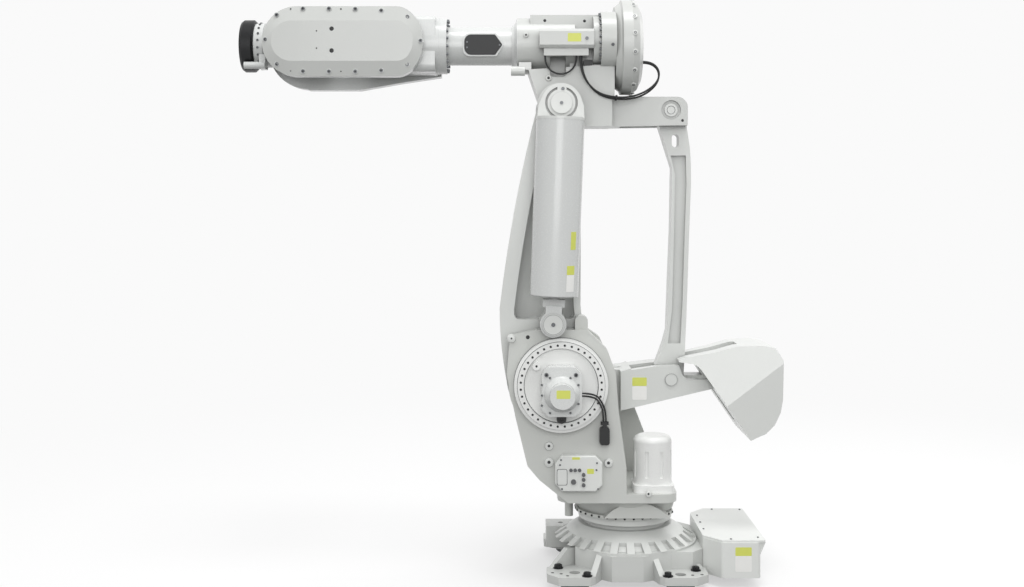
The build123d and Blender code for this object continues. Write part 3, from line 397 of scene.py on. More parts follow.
def seen_directly(tree):
    """A socket: 1 for rays from the camera, in a reflection or through glass, and 0 for scattered light."""
    path = add(tree, "ShaderNodeLightPath")
    most = path.outputs["Is Camera Ray"]
    for kind in ("Is Glossy Ray", "Is Transmission Ray"):
        either = add(tree, "ShaderNodeMath", {"operation": "MAXIMUM"}, {0: most, 1: path.outputs[kind]})
        most = either.outputs[0]
    return most


def per_mm(size):
    """A pattern's scale in metre coordinates whose marks are this many millimetres wide."""
    return 1000.0 / size


def coat(name, colour, shade, rough, grain_mm, grain_height, gloss=0.0, cloud_mm=420.0, metallic=0.0,
         crease=0.0):
    """A coating: broad clouds between two near colours, and a grain that bumps it and breaks up its gloss.

    Where other surfaces stand close, its colour is darkened by up to the crease share: painted shade in
    creases and corners.
    """
    made, tree, shader, where = surface(name)
    clouds = add(tree, "ShaderNodeTexNoise", {"Scale": per_mm(cloud_mm), "Detail": 3.0}, {"Vector": where})
    grain = add(tree, "ShaderNodeTexNoise", {"Scale": per_mm(grain_mm), "Detail": 4.0, "Roughness": 0.6},
                {"Vector": where})
    tone = add(tree, "ShaderNodeMix",
               {"data_type": "RGBA", MIX_FIRST: linear(colour), MIX_SECOND: linear(shade)},
               {"Factor": clouds.outputs["Fac"]})
    paint_colour = tone.outputs[MIX_RESULT]
    if crease:
        # Painted shade: the colour darkens where ambient occlusion finds other surfaces close.
        near = add(tree, "ShaderNodeAmbientOcclusion", {"samples": 8, "Distance": 0.15})
        shade_factor = add(tree, "ShaderNodeMapRange", {"From Min": 0.2, "From Max": 0.85, "To Min": 1.0 - crease,
                                                 "To Max": 1.0}, {"Value": near.outputs["AO"]})
        crease_shaded = add(tree, "ShaderNodeVectorMath", {"operation": "SCALE"},
                    {0: paint_colour, "Scale": shade_factor.outputs["Result"]})
        paint_colour = crease_shaded.outputs["Vector"]
    tree.links.new(paint_colour, shader.inputs["Base Color"])
    spread = add(tree, "ShaderNodeMapRange", {"From Min": 0.3, "From Max": 0.7, "To Min": rough - 0.05,
                                              "To Max": rough + 0.07}, {"Value": grain.outputs["Fac"]})
    tree.links.new(spread.outputs["Result"], shader.inputs["Roughness"])
    bump = add(tree, "ShaderNodeBump", {"Strength": 1.0, "Distance": grain_height},
               {"Height": grain.outputs["Fac"]})
    tree.links.new(bump.outputs["Normal"], shader.inputs["Normal"])
    shader.inputs["Coat Weight"].default_value = gloss
    shader.inputs["Coat Roughness"].default_value = 0.12
    shader.inputs["Metallic"].default_value = metallic
    return made


class RobotColours(bpy.types.PropertyGroup):
    """Colours of the finishes, as sRGB hex codes."""

    paint: bpy.props.StringProperty(
        name="Casting paint", description="White-grey gloss paint of the castings", default="#DFE1DE")
    # The column and base paints are greyer than the casting paint: painted shade.
    column: bpy.props.StringProperty(
        name="Column paint", description="Dulled paint of the column casting", default="#D3D5D1")
    base: bpy.props.StringProperty(
        name="Base paint", description="Dulled paint of the base casting", default="#D5D7D4")
    housing: bpy.props.StringProperty(
        name="Housing paint", description="Paint of the smooth wrist and motor housings", default="#DDDFDD")
    drum: bpy.props.StringProperty(
        name="Spring drum paint", description="Paint of the round spring housing", default="#D9DBD9")
    lid: bpy.props.StringProperty(
        name="Box paint", description="Paint of the folded sheet of the box and panel", default="#E9EBE8")
    # The pin rim grey paints the shade at the pins' edges.
    panel: bpy.props.StringProperty(
        name="Pin rim paint", description="Darker grey of the rims round the pins", default="#A9ABAA")
    black: bpy.props.StringProperty(
        name="Blackened steel", description="Tool flange and floor bolts", default="#111214")
    foot: bpy.props.StringProperty(
        name="Foot iron", description="Bare grey iron of the levelling feet", default="#6E7172")
    steel: bpy.props.StringProperty(
        name="Plated steel", description="Plated screws and pin centres", default="#6E7072")
    yellow: bpy.props.StringProperty(
        name="Yellow film", description="Plain yellow patches", default="#DDE36E")


class RobotFasteners(bpy.types.PropertyGroup):
    """Sizes of the screws."""

    wrist_head: bpy.props.FloatProperty(
        name="Wrist screw head", description="Radius of the wrist cover's screw heads", default=0.0105,
        unit="LENGTH")
    drive_head: bpy.props.FloatProperty(
        name="Drive screw head", description="Radius of the drive ring's screw heads", default=0.0065,
        unit="LENGTH")
    wrist_seat: bpy.props.FloatProperty(
        name="Wrist screw seat", description="Y of the wrist screws' seats", default=0.2479, unit="LENGTH")
    pad_head: bpy.props.FloatProperty(
        name="Floor bolt head", description="Half the width of a floor bolt's head", default=0.019,
        unit="LENGTH")


class RobotStage(bpy.types.PropertyGroup):
    """Strengths of the lamps."""

    key: bpy.props.FloatProperty(
        name="Key lamp", description="Power of the large lamp above", default=1250.0)
    fill: bpy.props.FloatProperty(
        name="Fill lamp", description="Power of the lamp beside the camera", default=232.0)
    sky: bpy.props.FloatProperty(
        name="Sky", description="Strength of the even light from all round", default=0.84)


FINISHES = {}


def finishes():
    """Every finish by name, made once."""
    if FINISHES:
        return FINISHES
    tint = bpy.context.scene.robot_colours
    # The crease share of each paint sets how much painted shade darkens it in creases and corners.
    # Gloss paint over sand-cast iron: the casting's pebbling shows faintly through. The real ripple of about
    # 2 mm is too fine to show, so it is drawn 9 mm wide.
    FINISHES["cast"] = coat("gloss_paint_on_cast_iron", tint.paint, "#D6D8D5", 0.33, 9.0, 0.00025, gloss=0.35,
                            crease=0.4)
    # The same paint in the tone that the upper arm and wrist cover have in the photograph: greyer, as painted
    # shade, and duller.
    FINISHES["arm"] = coat("shade_greyed_gloss_paint", "#D2D4D1", "#CCCECB", 0.36, 9.0, 0.00025, gloss=0.25,
                           crease=0.45)
    # The same paint low down, on the column and base: greyer by painted shade, and less glossy.
    FINISHES["column"] = coat("shade_greyed_paint_on_column", tint.column, "#CACCC8", 0.4, 9.0, 0.00025, gloss=0.2,
                              crease=0.35)
    FINISHES["base"] = coat("shade_greyed_paint_on_base", tint.base, "#CDCFCC", 0.4, 9.0, 0.00025, gloss=0.2,
                            crease=0.3)
    # Painted shadow in the seams between two parts, drawn as thin grey rings.
    FINISHES["seam"] = coat("painted_seam_shadow", "#6B6D6E", "#606263", 0.6, 4.0, 0.00004)
    # The same paint on machined aluminium is smoother, with a soft broad sheen.
    FINISHES["housing"] = coat("gloss_paint_on_aluminium", tint.housing, "#D7D9D8", 0.27, 6.0, 0.0001,
                               gloss=0.4, crease=0.3)
    # The same paint in the tone that the drives and the axis 1 motor have in the photograph: a shade whiter,
    # as painted light.
    FINISHES["pale"] = coat("light_whitened_gloss_paint", "#F0F1EF", "#E9EAE8", 0.3, 6.0, 0.0001, gloss=0.4)
    # Rolled and welded steel drum: very smooth, a little darker.
    FINISHES["drum"] = coat("gloss_paint_on_steel_drum", tint.drum, "#D3D5D4", 0.24, 7.0, 0.00008, gloss=0.45)
    # Powder coat on folded sheet, a shade whiter than the castings as painted light: fine orange peel and an
    # even half gloss.
    FINISHES["sheet"] = coat("powder_coat_on_sheet_steel", tint.lid, "#E2E4E1", 0.38, 5.0, 0.00014,
                             gloss=0.15)
    # Darker grey rims round the pins, painted shade at the pins' edges, which set them off from the castings.
    FINISHES["panel"] = coat("pin_rim_painted_shade", tint.panel, "#A0A2A1", 0.42, 4.0, 0.00012, gloss=0.1)
    # Chemically blackened steel: nearly black, with an oily half gloss.
    FINISHES["black"] = coat("blackened_steel", tint.black, "#18191B", 0.38, 5.0, 0.00006, metallic=0.35)
    # Satin black lacquer on the hatch plate and black screws, also used for painted shade in holes and screw
    # sockets.
    FINISHES["lacquer_and_shade"] = coat("satin_black_lacquer_and_painted_shade", "#0E0F10", "#141517", 0.45, 4.0, 0.00005)
    # Bare cast iron feet: grey, rough, slightly blotched.
    FINISHES["foot"] = coat("bare_grey_iron", tint.foot, "#5C5F60", 0.6, 4.0, 0.0004, metallic=0.5,
                            cloud_mm=40.0)
    # Zinc-plated steel gone dull: mid grey with a metal's sheen, slightly cloudy.
    FINISHES["steel"] = coat("zinc_plated_steel", tint.steel, "#5E6062", 0.34, 3.0, 0.00004, metallic=0.9,
                             cloud_mm=25.0)
    # Dull nickel connectors.
    FINISHES["connector"] = coat("dull_nickel_plate", "#6A6B6C", "#505153", 0.4, 3.0, 0.00004, metallic=0.9,
                                 cloud_mm=20.0)
    # Vinyl film: flat colour, soft gloss.
    FINISHES["yellow"] = coat("yellow_vinyl_film", tint.yellow, "#D6DC66", 0.4, 8.0, 0.00002, cloud_mm=30.0)
    FINISHES["white_film"] = coat("white_vinyl_film", "#F8F8F5", "#F2F2EF", 0.4, 8.0, 0.00002, cloud_mm=30.0)
    # Extruded black cable sheath: satin black with a faint grain.
    FINISHES["sheath"] = coat("black_cable_sheath", "#0C0D0E", "#131416", 0.42, 3.0, 0.00006, cloud_mm=60.0)
    return FINISHES


NODE_FINISH = {
    "foot_front_near": "foot", "foot_front_far": "foot", "foot_back_near": "foot", "foot_back_far": "foot",
    "connector_box": "sheet", "connector_box_lid": "sheet", "service_panel": "sheet",
    "panel_connectors": "connector", "spring_cylinder": "drum", "spring_rod": "housing",
    "tool_flange": "black", "hatch_plate": "lacquer_and_shade", "forearm_tube": "housing", "forearm_collar": "housing",
    "forearm_flange_ring": "housing", "wrist_housing": "housing", "wrist_side_cover": "arm",
    "wrist_tilt_housing": "housing", "near_arm_motor": "arm", "far_arm_motor": "arm",
    "upper_arm_casting": "arm", "gear_dome": "arm", "near_motor_flange": "arm",
    "axis_2_drive_ring": "pale", "axis_3_drive_ring": "pale", "axis_2_gear_disc": "pale",
    "axis_3_gear_disc": "pale", "axis_1_motor": "pale", "axis_2_motor": "housing", "axis_3_motor": "housing",
    "cable_boot": "sheath", "drive_cable_outer": "sheath", "drive_cable_inner": "sheath",
    "motor_cable_loop": "sheath", "dome_cable_far": "sheath", "dome_cable_near": "sheath",
    "column_casting": "column", "base_casting": "base",
}


class ROBOT_OT_cables(bpy.types.Operator):
    """The five black cables of the drives."""

    bl_idname = "robot.cables"
    bl_label = "Cables"

    def execute(self, context):
        """Two from the shoulder motor to its boot, a loop under the arm's motor, two round the gear dome."""
        sheath = finishes()["sheath"]
        for node, route, radius, length, body in (
                ("drive_cable_outer", DRIVE_OUTER, DRIVE_CABLE_R, 0.281, "column"),
                ("drive_cable_inner", DRIVE_INNER, DRIVE_CABLE_R, 0.260, "column"),
                ("motor_cable_loop", MOTOR_LOOP, DRIVE_CABLE_R, 0.309, "upper_arm"),
                ("dome_cable_far", DOME_FAR, DOME_CABLE_R, 0.806, "upper_arm"),
                ("dome_cable_near", DOME_NEAR, DOME_CABLE_R, 0.800, "upper_arm")):
            cable(node, route, radius, body, sheath)
        return {"FINISHED"}


class ROBOT_OT_paint(bpy.types.Operator):
    """Give every solid of the frame its finish."""

    bl_idname = "robot.paint"
    bl_label = "Paint the solids"

    def execute(self, context):
        """Assign a procedural material to each node, keeping its mesh."""
        ready = finishes()
        for name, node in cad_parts.items():
            node.data.materials.clear()
            node.data.materials.append(ready[NODE_FINISH.get(name, "cast")])
        return {"FINISHED"}


def cap_screw(head, tall):
    """A socket cap screw's head: a short drum with a bevelled rim and a six-sided hole, `tall` high."""
    hole = 0.52 * head
    return turned([(0, -0.001), (head, -0.001), (head, tall * 0.82), (head * 0.9, tall),
                   (hole * 1.08, tall, 1), (hole, tall * 0.9, 1), (hole, tall * 0.35, 1),
                   (0, tall * 0.35)], 18)


def socket(head, tall):
    """The six-sided floor in the socket of a cap screw, painted black as the shade inside the socket."""
    return turned([(0, tall * 0.3), (0.5 * head, tall * 0.3, 1), (0.5 * head, tall * 0.45, 1),
                   (0, tall * 0.45)], 12)


def hex_bolt(half, tall):
    """A hexagon head over a round washer, chamfered at its top."""
    return turned([(0, -0.001), (half * 1.5, -0.001), (half * 1.5, tall * 0.16), (half, tall * 0.18, 1),
                   (half, tall * 0.9, 1), (half * 0.9, tall, 0.2), (0, tall)], 24)


def far_side(places):
    """The same places mirrored to the far side: Y turned over in both the point and the axis."""
    return [((p[0], -p[1], p[2]), (a[0], -a[1], a[2]), *s) for p, a, *s in places]


def raised(places, by):
    """The same places moved out: each point plus `by` times its axis."""
    return [((x + by * a[0], y + by * a[1], z + by * a[2]), a) for (x, y, z), a in places]


def seats(centre, y):
    """A place at depth Y on the near side and its mirror on the far side."""
    place = [((centre[0], y, centre[2]), NEAR_SIDE)]
    return place + far_side(place)


def top_of(node, axis=1):
    """How far a solid reaches along an axis, a hair inside it so that what stands on it is seated."""
    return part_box(node)[1][axis] - 0.0002


def dark_hole(radius):
    """A hole seen from outside, its shade painted as a shallow dark disc with a rounded rim."""
    return turned([(0, -0.001), (radius, -0.001), (radius, 0.0004), (radius * 0.8, 0.0008), (0, 0.0006)], 20)


def boss(radius, tall):
    """A cast boss: a short cone with a rounded shoulder."""
    return turned([(0, -0.002), (radius * 1.15, -0.002), (radius * 1.04, tall * 0.6),
                   (radius * 0.96, tall * 0.93), (radius * 0.86, tall), (0, tall)], 32)


def washer(outer, inner, tall):
    """A flat ring with both its upper rims broken."""
    cut = min(0.3 * tall, 0.25 * (outer - inner))
    return ringed([(inner, -0.0008), (outer, -0.0008), (outer, tall - cut), (outer - cut, tall),
                   (inner + cut, tall), (inner, tall - cut)], 64)


def wrapped(low, high, first, last):
    """A film round the spring drum: points at its radius, turned `first` to `last` degrees to the rear."""
    count, outer = 9, DRUM_R + 0.0011
    turn = np.radians(np.linspace(first, last, count))
    rows = []
    for radius, level in ((DRUM_R, low), (outer, low), (outer, high), (DRUM_R, high), (DRUM_R, low)):
        down = ELBOW[1] - level
        rows.append(np.column_stack((ELBOW[0] - down * math.tan(SPRING_LEAN) - radius * np.sin(turn),
                                     DRUM_Y + radius * np.cos(turn), np.full(count, level))))
    start = (np.arange(4)[:, None] * count + np.arange(count - 1)).ravel()
    return np.concatenate(rows), [np.column_stack((start, start + 1, start + count + 1, start + count))]


def sticker(name, y, body, finish):
    """A plain film patch between its two corners in the photograph, on a face at depth Y."""
    px0, py0, px1, py1 = PATCH_PX[name]
    (x0, _, z0), (x1, _, z1) = seen(px0, py0, y), seen(px1, py1, y)
    place = [(((x0 + x1) / 2, y, (z0 + z1) / 2), NEAR_SIDE)]
    film = tile(abs(x1 - x0) / 2, abs(z1 - z0) / 2, 0.0006, 14.0, edge=0.0002)
    fit(name, film, place, body, finish)


class ROBOT_OT_wrist_screws(bpy.types.Operator):
    """Screws and holes of the wrist's side cover, the holes as dark discs of painted shade, and screws of the
    forearm and its rings.
    """

    bl_idname = "robot.wrist_screws"
    bl_label = "Wrist and forearm screws"

    def execute(self, context):
        """Cap screws, pin holes and larger holes, the holes as dark discs of painted shade, where the
        photograph shows them, and circles on both rings.
        """
        head = context.scene.robot_fasteners.wrist_head
        rim = context.scene.robot_fasteners.wrist_seat
        places = [(seen(px, py, rim), NEAR_SIDE, 0.3 * k) for k, (px, py) in enumerate(WRIST_SCREWS_PX)]
        fit("wrist_cover_screws", cap_screw(head, 0.008), places, "forearm", "steel")
        # Painted shade in the screws' sockets.
        fit("wrist_cover_socket_shades", socket(head, 0.008), places, "forearm", "lacquer_and_shade")
        fit("wrist_cover_pockets", washer(head * 1.35, head * 1.02, 0.006), places, "forearm", "housing")
        # Pin holes and larger holes on the cover, drawn as dark discs of painted shade.
        small = at_pixels(RIM_PIN_HOLES_PX, rim + 0.0015)
        face = top_of("wrist_side_cover")
        small += at_pixels(COVER_PIN_HOLES_PX, face)
        fit("wrist_cover_pin_holes", dark_hole(0.0042), small, "forearm", "lacquer_and_shade")
        shaded_holes = at_pixels(COVER_HOLE_SHADES_PX, face)
        fit("wrist_cover_hole_shades", dark_hole(0.0125), shaded_holes, "forearm", "lacquer_and_shade")
        ring = circle_places(FOREARM_RING, FOREARM_RING_R, 20, (-1, 0, 0), 0.1)
        fit("forearm_ring_screws", cap_screw(0.0085, 0.012), ring, "forearm", "steel")
        silver = at_pixels(HATCH_SCREWS_PX, top_of("hatch_plate"))
        fit("hatch_screws", cap_screw(0.005, 0.004), silver, "forearm", "steel")
        rim = outward_places(TILT_RING_X, TILT_RING_R, FOREARM_Z, 20)
        fit("tilt_ring_screws", cap_screw(0.0065, 0.006), rim, "wrist", "steel")
        return {"FINISHED"}


class ROBOT_OT_drive_screws(bpy.types.Operator):
    """Screws of the shoulder drives and their motors, and rings of painted shadow in their seams, on both
    sides.
    """

    bl_idname = "robot.drive_screws"
    bl_label = "Drive ring screws"

    def execute(self, context):
        """Thirty-six sunk screws on each ring's bolt circle, seam rings of painted shadow, and screws on both
        motors.
        """
        head = context.scene.robot_fasteners.drive_head
        face = top_of("axis_2_drive_ring")
        near = circle_places((SHOULDER[0], face, SHOULDER[1]), DRIVE_RING_R, 36, NEAR_SIDE, math.radians(5))
        fit("drive_ring_screws", cap_screw(head, 0.0016), near + far_side(near), "column", "lacquer_and_shade")
        # Thin grey rings of painted shadow in the seams of the drive rings, on both sides.
        centre = (SHOULDER[0], 0.0, SHOULDER[1])
        rings = [repeated(washer(outer, inner, 0.0012), seats(centre, y)) for outer, inner, y in DRIVE_SEAMS]
        piece("drive_ring_seams", joined(*rings), "column", "seam")
        wide = [(point, axis, 0.4) for point, axis in at_pixels(MOTOR_SCREWS_PX, DRIVE_MOTOR_FACE)]
        wide += far_side(wide)
        fit("drive_motor_screws", cap_screw(0.011, 0.010), wide, "column", "steel")
        # Painted shade in the wide screws' sockets.
        fit("drive_motor_socket_shades", socket(0.011, 0.010), wide, "column", "lacquer_and_shade")
        thin = at_pixels(MOTOR_SMALL_SCREWS_PX, DRIVE_MOTOR_FACE)
        fit("drive_motor_small_screws", cap_screw(0.006, 0.006), thin + far_side(thin), "column", "steel")
        plug = [(DRIVE_PLUG, NEAR_SIDE)]
        cap = turned([(0, -0.001), (0.027, -0.001), (0.027, 0.012, 0.4), (0.024, 0.016, 0.4),
                      (0.012, 0.0165, 1), (0.011, 0.009, 1), (0, 0.009)], 36)
        fit("drive_motor_plugs", cap, plug + far_side(plug), "column", "lacquer_and_shade")
        return {"FINISHED"}


class ROBOT_OT_arm_details(bpy.types.Operator):
    """Screws, bosses and holes of the upper arm, its gear dome, and the pins of the linkage, the holes as
    dark discs of painted shade.
    """

    bl_idname = "robot.arm_details"
    bl_label = "Upper arm and pins"

    def execute(self, context):
        """Rows of screws round the motor flange and dome, holes in the casting, and pin centres."""
        rim = outward_places(DOME_RIM_X, DOME_RIM_R, DOME_Z, 16)
        fit("dome_rim_bosses", boss(0.014, 0.003), rim, "upper_arm", "cast")
        fit("dome_rim_screws", cap_screw(0.008, 0.0025), raised(rim, 0.002), "upper_arm", "steel")
        rear = (DOME_REAR_X, 0.0, DOME_Z)
        back = circle_places(rear, 0.165, 12, (-1, 0, 0), 0.13)
        fit("dome_back_screws", cap_screw(0.009, 0.004), back, "upper_arm", "steel")
        fit("dome_back_cover", boss(0.125, 0.010), [(rear, (-1, 0, 0))], "upper_arm", "cast")
        # Holes in the casting, drawn as dark discs of painted shade.
        dark = at_pixels(ARM_HOLE_SHADES_PX, UPPER_ARM_FACE)
        fit("upper_arm_hole_shades", dark_hole(0.0085), dark + far_side(dark), "upper_arm", "lacquer_and_shade")
        # Bosses with holes on top, the holes drawn as dark discs of painted shade.
        gear = at_pixels((GEAR_BOSS_PX,), GEAR_SIDE)
        fit("gear_side_boss", boss(0.014, 0.010), gear, "upper_arm", "cast")
        fit("gear_side_hole_shade", dark_hole(0.006), raised(gear, GEAR_BOSS_TOP), "upper_arm", "lacquer_and_shade")
        web = at_pixels((WEB_BOSS_PX,), WEB_FACE)
        fit("web_boss", boss(0.017, 0.008), web, "upper_arm", "cast")
        fit("web_boss_hole_shade", dark_hole(0.008), raised(web, WEB_BOSS_TOP), "upper_arm", "lacquer_and_shade")
        ring = circle_places(MOTOR_FLANGE, MOTOR_FLANGE_R, 26, (1, 0, 0), 0.06)
        ring = [(at, *rest) for at, *rest in ring
                if at[1] > FLANGE_MIN_Y and (at[2] > FLANGE_LOW_Z or at[1] > FLANGE_LOW_Y)]
        fit("motor_flange_screws", cap_screw(0.0075, 0.012), ring, "upper_arm", "steel")
        side = [(MOTOR_SIDE_SCREW, MOTOR_SIDE_AXIS), (seen(*MOTOR_SIDE_SCREW_PX, ARM_MOTOR_FACE), NEAR_SIDE)]
        fit("motor_side_screws", cap_screw(0.009, 0.006), side, "upper_arm", "steel")
        tie = ringed([(0.0145, -0.004), (0.0168, -0.004), (0.0172, 0), (0.0168, 0.004), (0.0145, 0.004)], 24)
        fit("cable_tie", tie, [(CABLE_TIE, CABLE_TIE_AXIS)], "upper_arm", "sheath")
        # A black block under the arm's motor, drawn as the cable entry, that also paints the dark shade of
        # the pocket there.
        gland = at_pixels((GLAND_SHADOW_PX,), GLAND_FACE)
        fit("gland_shadow_block", tile(0.026, 0.018, 0.036, 8.0), gland, "upper_arm", "sheath")
        # A hole in the fork's ear, drawn as a dark disc of painted shade.
        dot = at_pixels((FORK_HOLE_SHADE_PX,), FORK_EAR_FACE)
        fit("fork_ear_hole_shade", dark_hole(0.008), dot, "upper_arm", "lacquer_and_shade")
        nipple = at_pixels((SPRING_NIPPLE_PX,), SPRING_HEAD_FACE)
        fit("spring_head_nipple", cap_screw(0.009, 0.005), nipple, "spring_housing", "steel")
        elbow = [((ELBOW[0], top_of("elbow_pin"), ELBOW[1]), NEAR_SIDE)]
        fit("elbow_pin_centre", cap_screw(0.009, 0.004), elbow, "elbow", "steel")
        foot = [((SPRING_FOOT[0], top_of("spring_foot_pin"), SPRING_FOOT[1]), NEAR_SIDE)]
        fit("spring_foot_centre", cap_screw(0.011, 0.005), foot, "column", "steel")
        # A thin darker grey ring of painted shade round the edge of the spring foot's pin.
        fit("spring_foot_rim", washer(0.055, 0.0525, 0.0015), foot, "column", "panel")
        low = [((LINK_FOOT[0], top_of("lower_link_pin"), LINK_FOOT[1]), NEAR_SIDE)]
        # A thin ring of painted shade round the lower link pin.
        fit("lower_link_pin_rim", washer(0.036, 0.033, 0.0015), low, "link_pin", "panel")
        link = [((UPPER_LINK_PIN[0], top_of("upper_link_pin"), UPPER_LINK_PIN[1]), NEAR_SIDE)]
        # A thin ring of painted seam shadow round the upper link pin.
        fit("upper_link_pin_rim", washer(0.024, 0.0215, 0.0015), link, "upper_arm", "seam")
        return {"FINISHED"}


class ROBOT_OT_column_details(bpy.types.Operator):
    """Bosses and holes of the near cheek and gear discs, the holes as dark discs of painted shade, the
    panel's cover and the turntable's screws.
    """

    bl_idname = "robot.column_details"
    bl_label = "Column bosses and panel"

    def execute(self, context):
        """Cast bosses with dark discs of painted hole shade, a thin hatch on the panel edged with painted
        seam shadow, and a circle of screws under the skirt.
        """
        round_bosses = [repeated(boss(size, 0.012), at_pixels((at,), CHEEK_FACE))
                        for at, size, _ in CHEEK_BOSSES_PX]
        piece("cheek_bosses", joined(*round_bosses), "column", "cast")
        # Holes in the bosses, drawn as dark discs of painted shade.
        holes = [repeated(dark_hole(hole), at_pixels((at,), CHEEK_FACE + CHEEK_BOSS_TOP))
                 for at, _, hole in CHEEK_BOSSES_PX]
        holes += [repeated(dark_hole(0.011), at_pixels((CHEEK_HOLE_SHADE_PX,), CHEEK_FACE))]
        piece("cheek_hole_shades", joined(*holes), "column", "lacquer_and_shade")
        front = top_of("service_panel")
        (x0, _, z0), (x1, _, z1) = (seen(*corner, front) for corner in PANEL_HATCH_PX)
        middle = [(((x0 + x1) / 2, front, (z0 + z1) / 2), NEAR_SIDE)]
        half_x, half_z, past = abs(x0 - x1) / 2, abs(z0 - z1) / 2, 0.003
        # A rim 3 mm beyond the hatch in the seam grey: painted shadow round the hatch's edge.
        seam_rim = tile(half_x + past, half_z + past, 0.0015, 8.0)
        fit("panel_hatch_seam_shadow", seam_rim, middle, "column", "seam")
        fit("panel_hatch", tile(half_x, half_z, 0.003, 8.0), middle, "column", "sheet")
        corners = at_pixels(PANEL_SCREWS_PX, front)
        fit("panel_screws", cap_screw(0.005, 0.004), corners, "column", "steel")
        turn = (np.arange(36) + 0.5) * math.pi / 18
        ring = [((TURNTABLE_R * x, TURNTABLE_R * y, TURNTABLE_Z), (x, y, 0.0))
                for x, y in ((math.cos(t), math.sin(t)) for t in turn) if TURNTABLE_R * x > TURNTABLE_REAR_X]
        fit("turntable_screws", cap_screw(0.0062, 0.004), ring, "column", "lacquer_and_shade")
        # A hole in each gear disc, drawn as a dark disc of painted shade.
        dot = [(DISC_HOLE_SHADE, NEAR_SIDE)]
        fit("gear_disc_hole_shades", dark_hole(0.0065), dot + far_side(dot), "column", "lacquer_and_shade")
        return {"FINISHED"}


class ROBOT_OT_films(bpy.types.Operator):
    """Plain film patches where the photograph shows labels, without words or signs."""

    bl_idname = "robot.films"
    bl_label = "Plain patches"

    def execute(self, context):
        """Yellow and white patches on the arm, the column and the box."""
        motor, cap = top_of("near_arm_motor"), top_of("axis_2_motor")
        panel = top_of("service_panel")
        for name, y, body, finish in (
                ("arm_motor_patch", motor, "upper_arm", "yellow"),
                ("drive_motor_patch", cap, "column", "yellow"),
                ("link_patch_top", LINK_ARM_FACE, "parallel_arm", "yellow"),
                ("link_patch_low", LINK_ARM_FACE, "parallel_arm", "white_film"),
                ("panel_patch", panel, "column", "yellow"), ("panel_strip", panel, "column", "yellow"),
                ("box_patch_top", BOX_FACE, "base", "yellow"),
                ("box_patch_low", BOX_FACE, "base", "white_film")):
            sticker(name, y, body, finish)
        for name, (rows, turn) in DRUM_PATCH_PX.items():
            high, low = (seen(0, row, DRUM_SEEN_Y)[2] for row in rows)
            finish = "white_film" if name == "spring_patch_low" else "yellow"
            piece(name, wrapped(low, high, *turn), "spring_housing", finish)
        return {"FINISHED"}


class ROBOT_OT_floor_bolts(bpy.types.Operator):
    """Bolts and holes of the four pads, and the screws of the box's lid."""

    bl_idname = "robot.floor_bolts"
    bl_label = "Floor bolts"

    def execute(self, context):
        """Two hexagon bolts a pad over washers, dark holes beside them, and cap screws on the lid."""
        half = context.scene.robot_fasteners.pad_head
        near = [((x, y, FLOOR_BOLT_Z), UP, 0.2 * k) for k, (x, y) in enumerate(FLOOR_BOLTS)]
        fit("floor_bolts", hex_bolt(half, 0.022), near + far_side(near), "base", "black")
        holes = [((x, y * side, PAD_HOLE_Z), UP) for x, y in PAD_HOLES for side in (1, -1)]
        fit("pad_hole_shadows", washer(0.0299, 0.012, 0.010), holes, "base", "lacquer_and_shade")
        # Small holes in the pads, drawn as dark discs of painted shade.
        small = [((x, y * side, PAD_TOP_Z), UP) for side in (1, -1) for x, y in PAD_SMALL_HOLES]
        fit("pad_small_holes", dark_hole(0.009), small, "base", "lacquer_and_shade")
        lid = top_of("connector_box_lid", 2)
        screws = [((x, y, lid), UP) for x, y in LID_SCREWS]
        fit("box_lid_screws", cap_screw(0.006, 0.004), screws, "base", "steel")
        return {"FINISHED"}


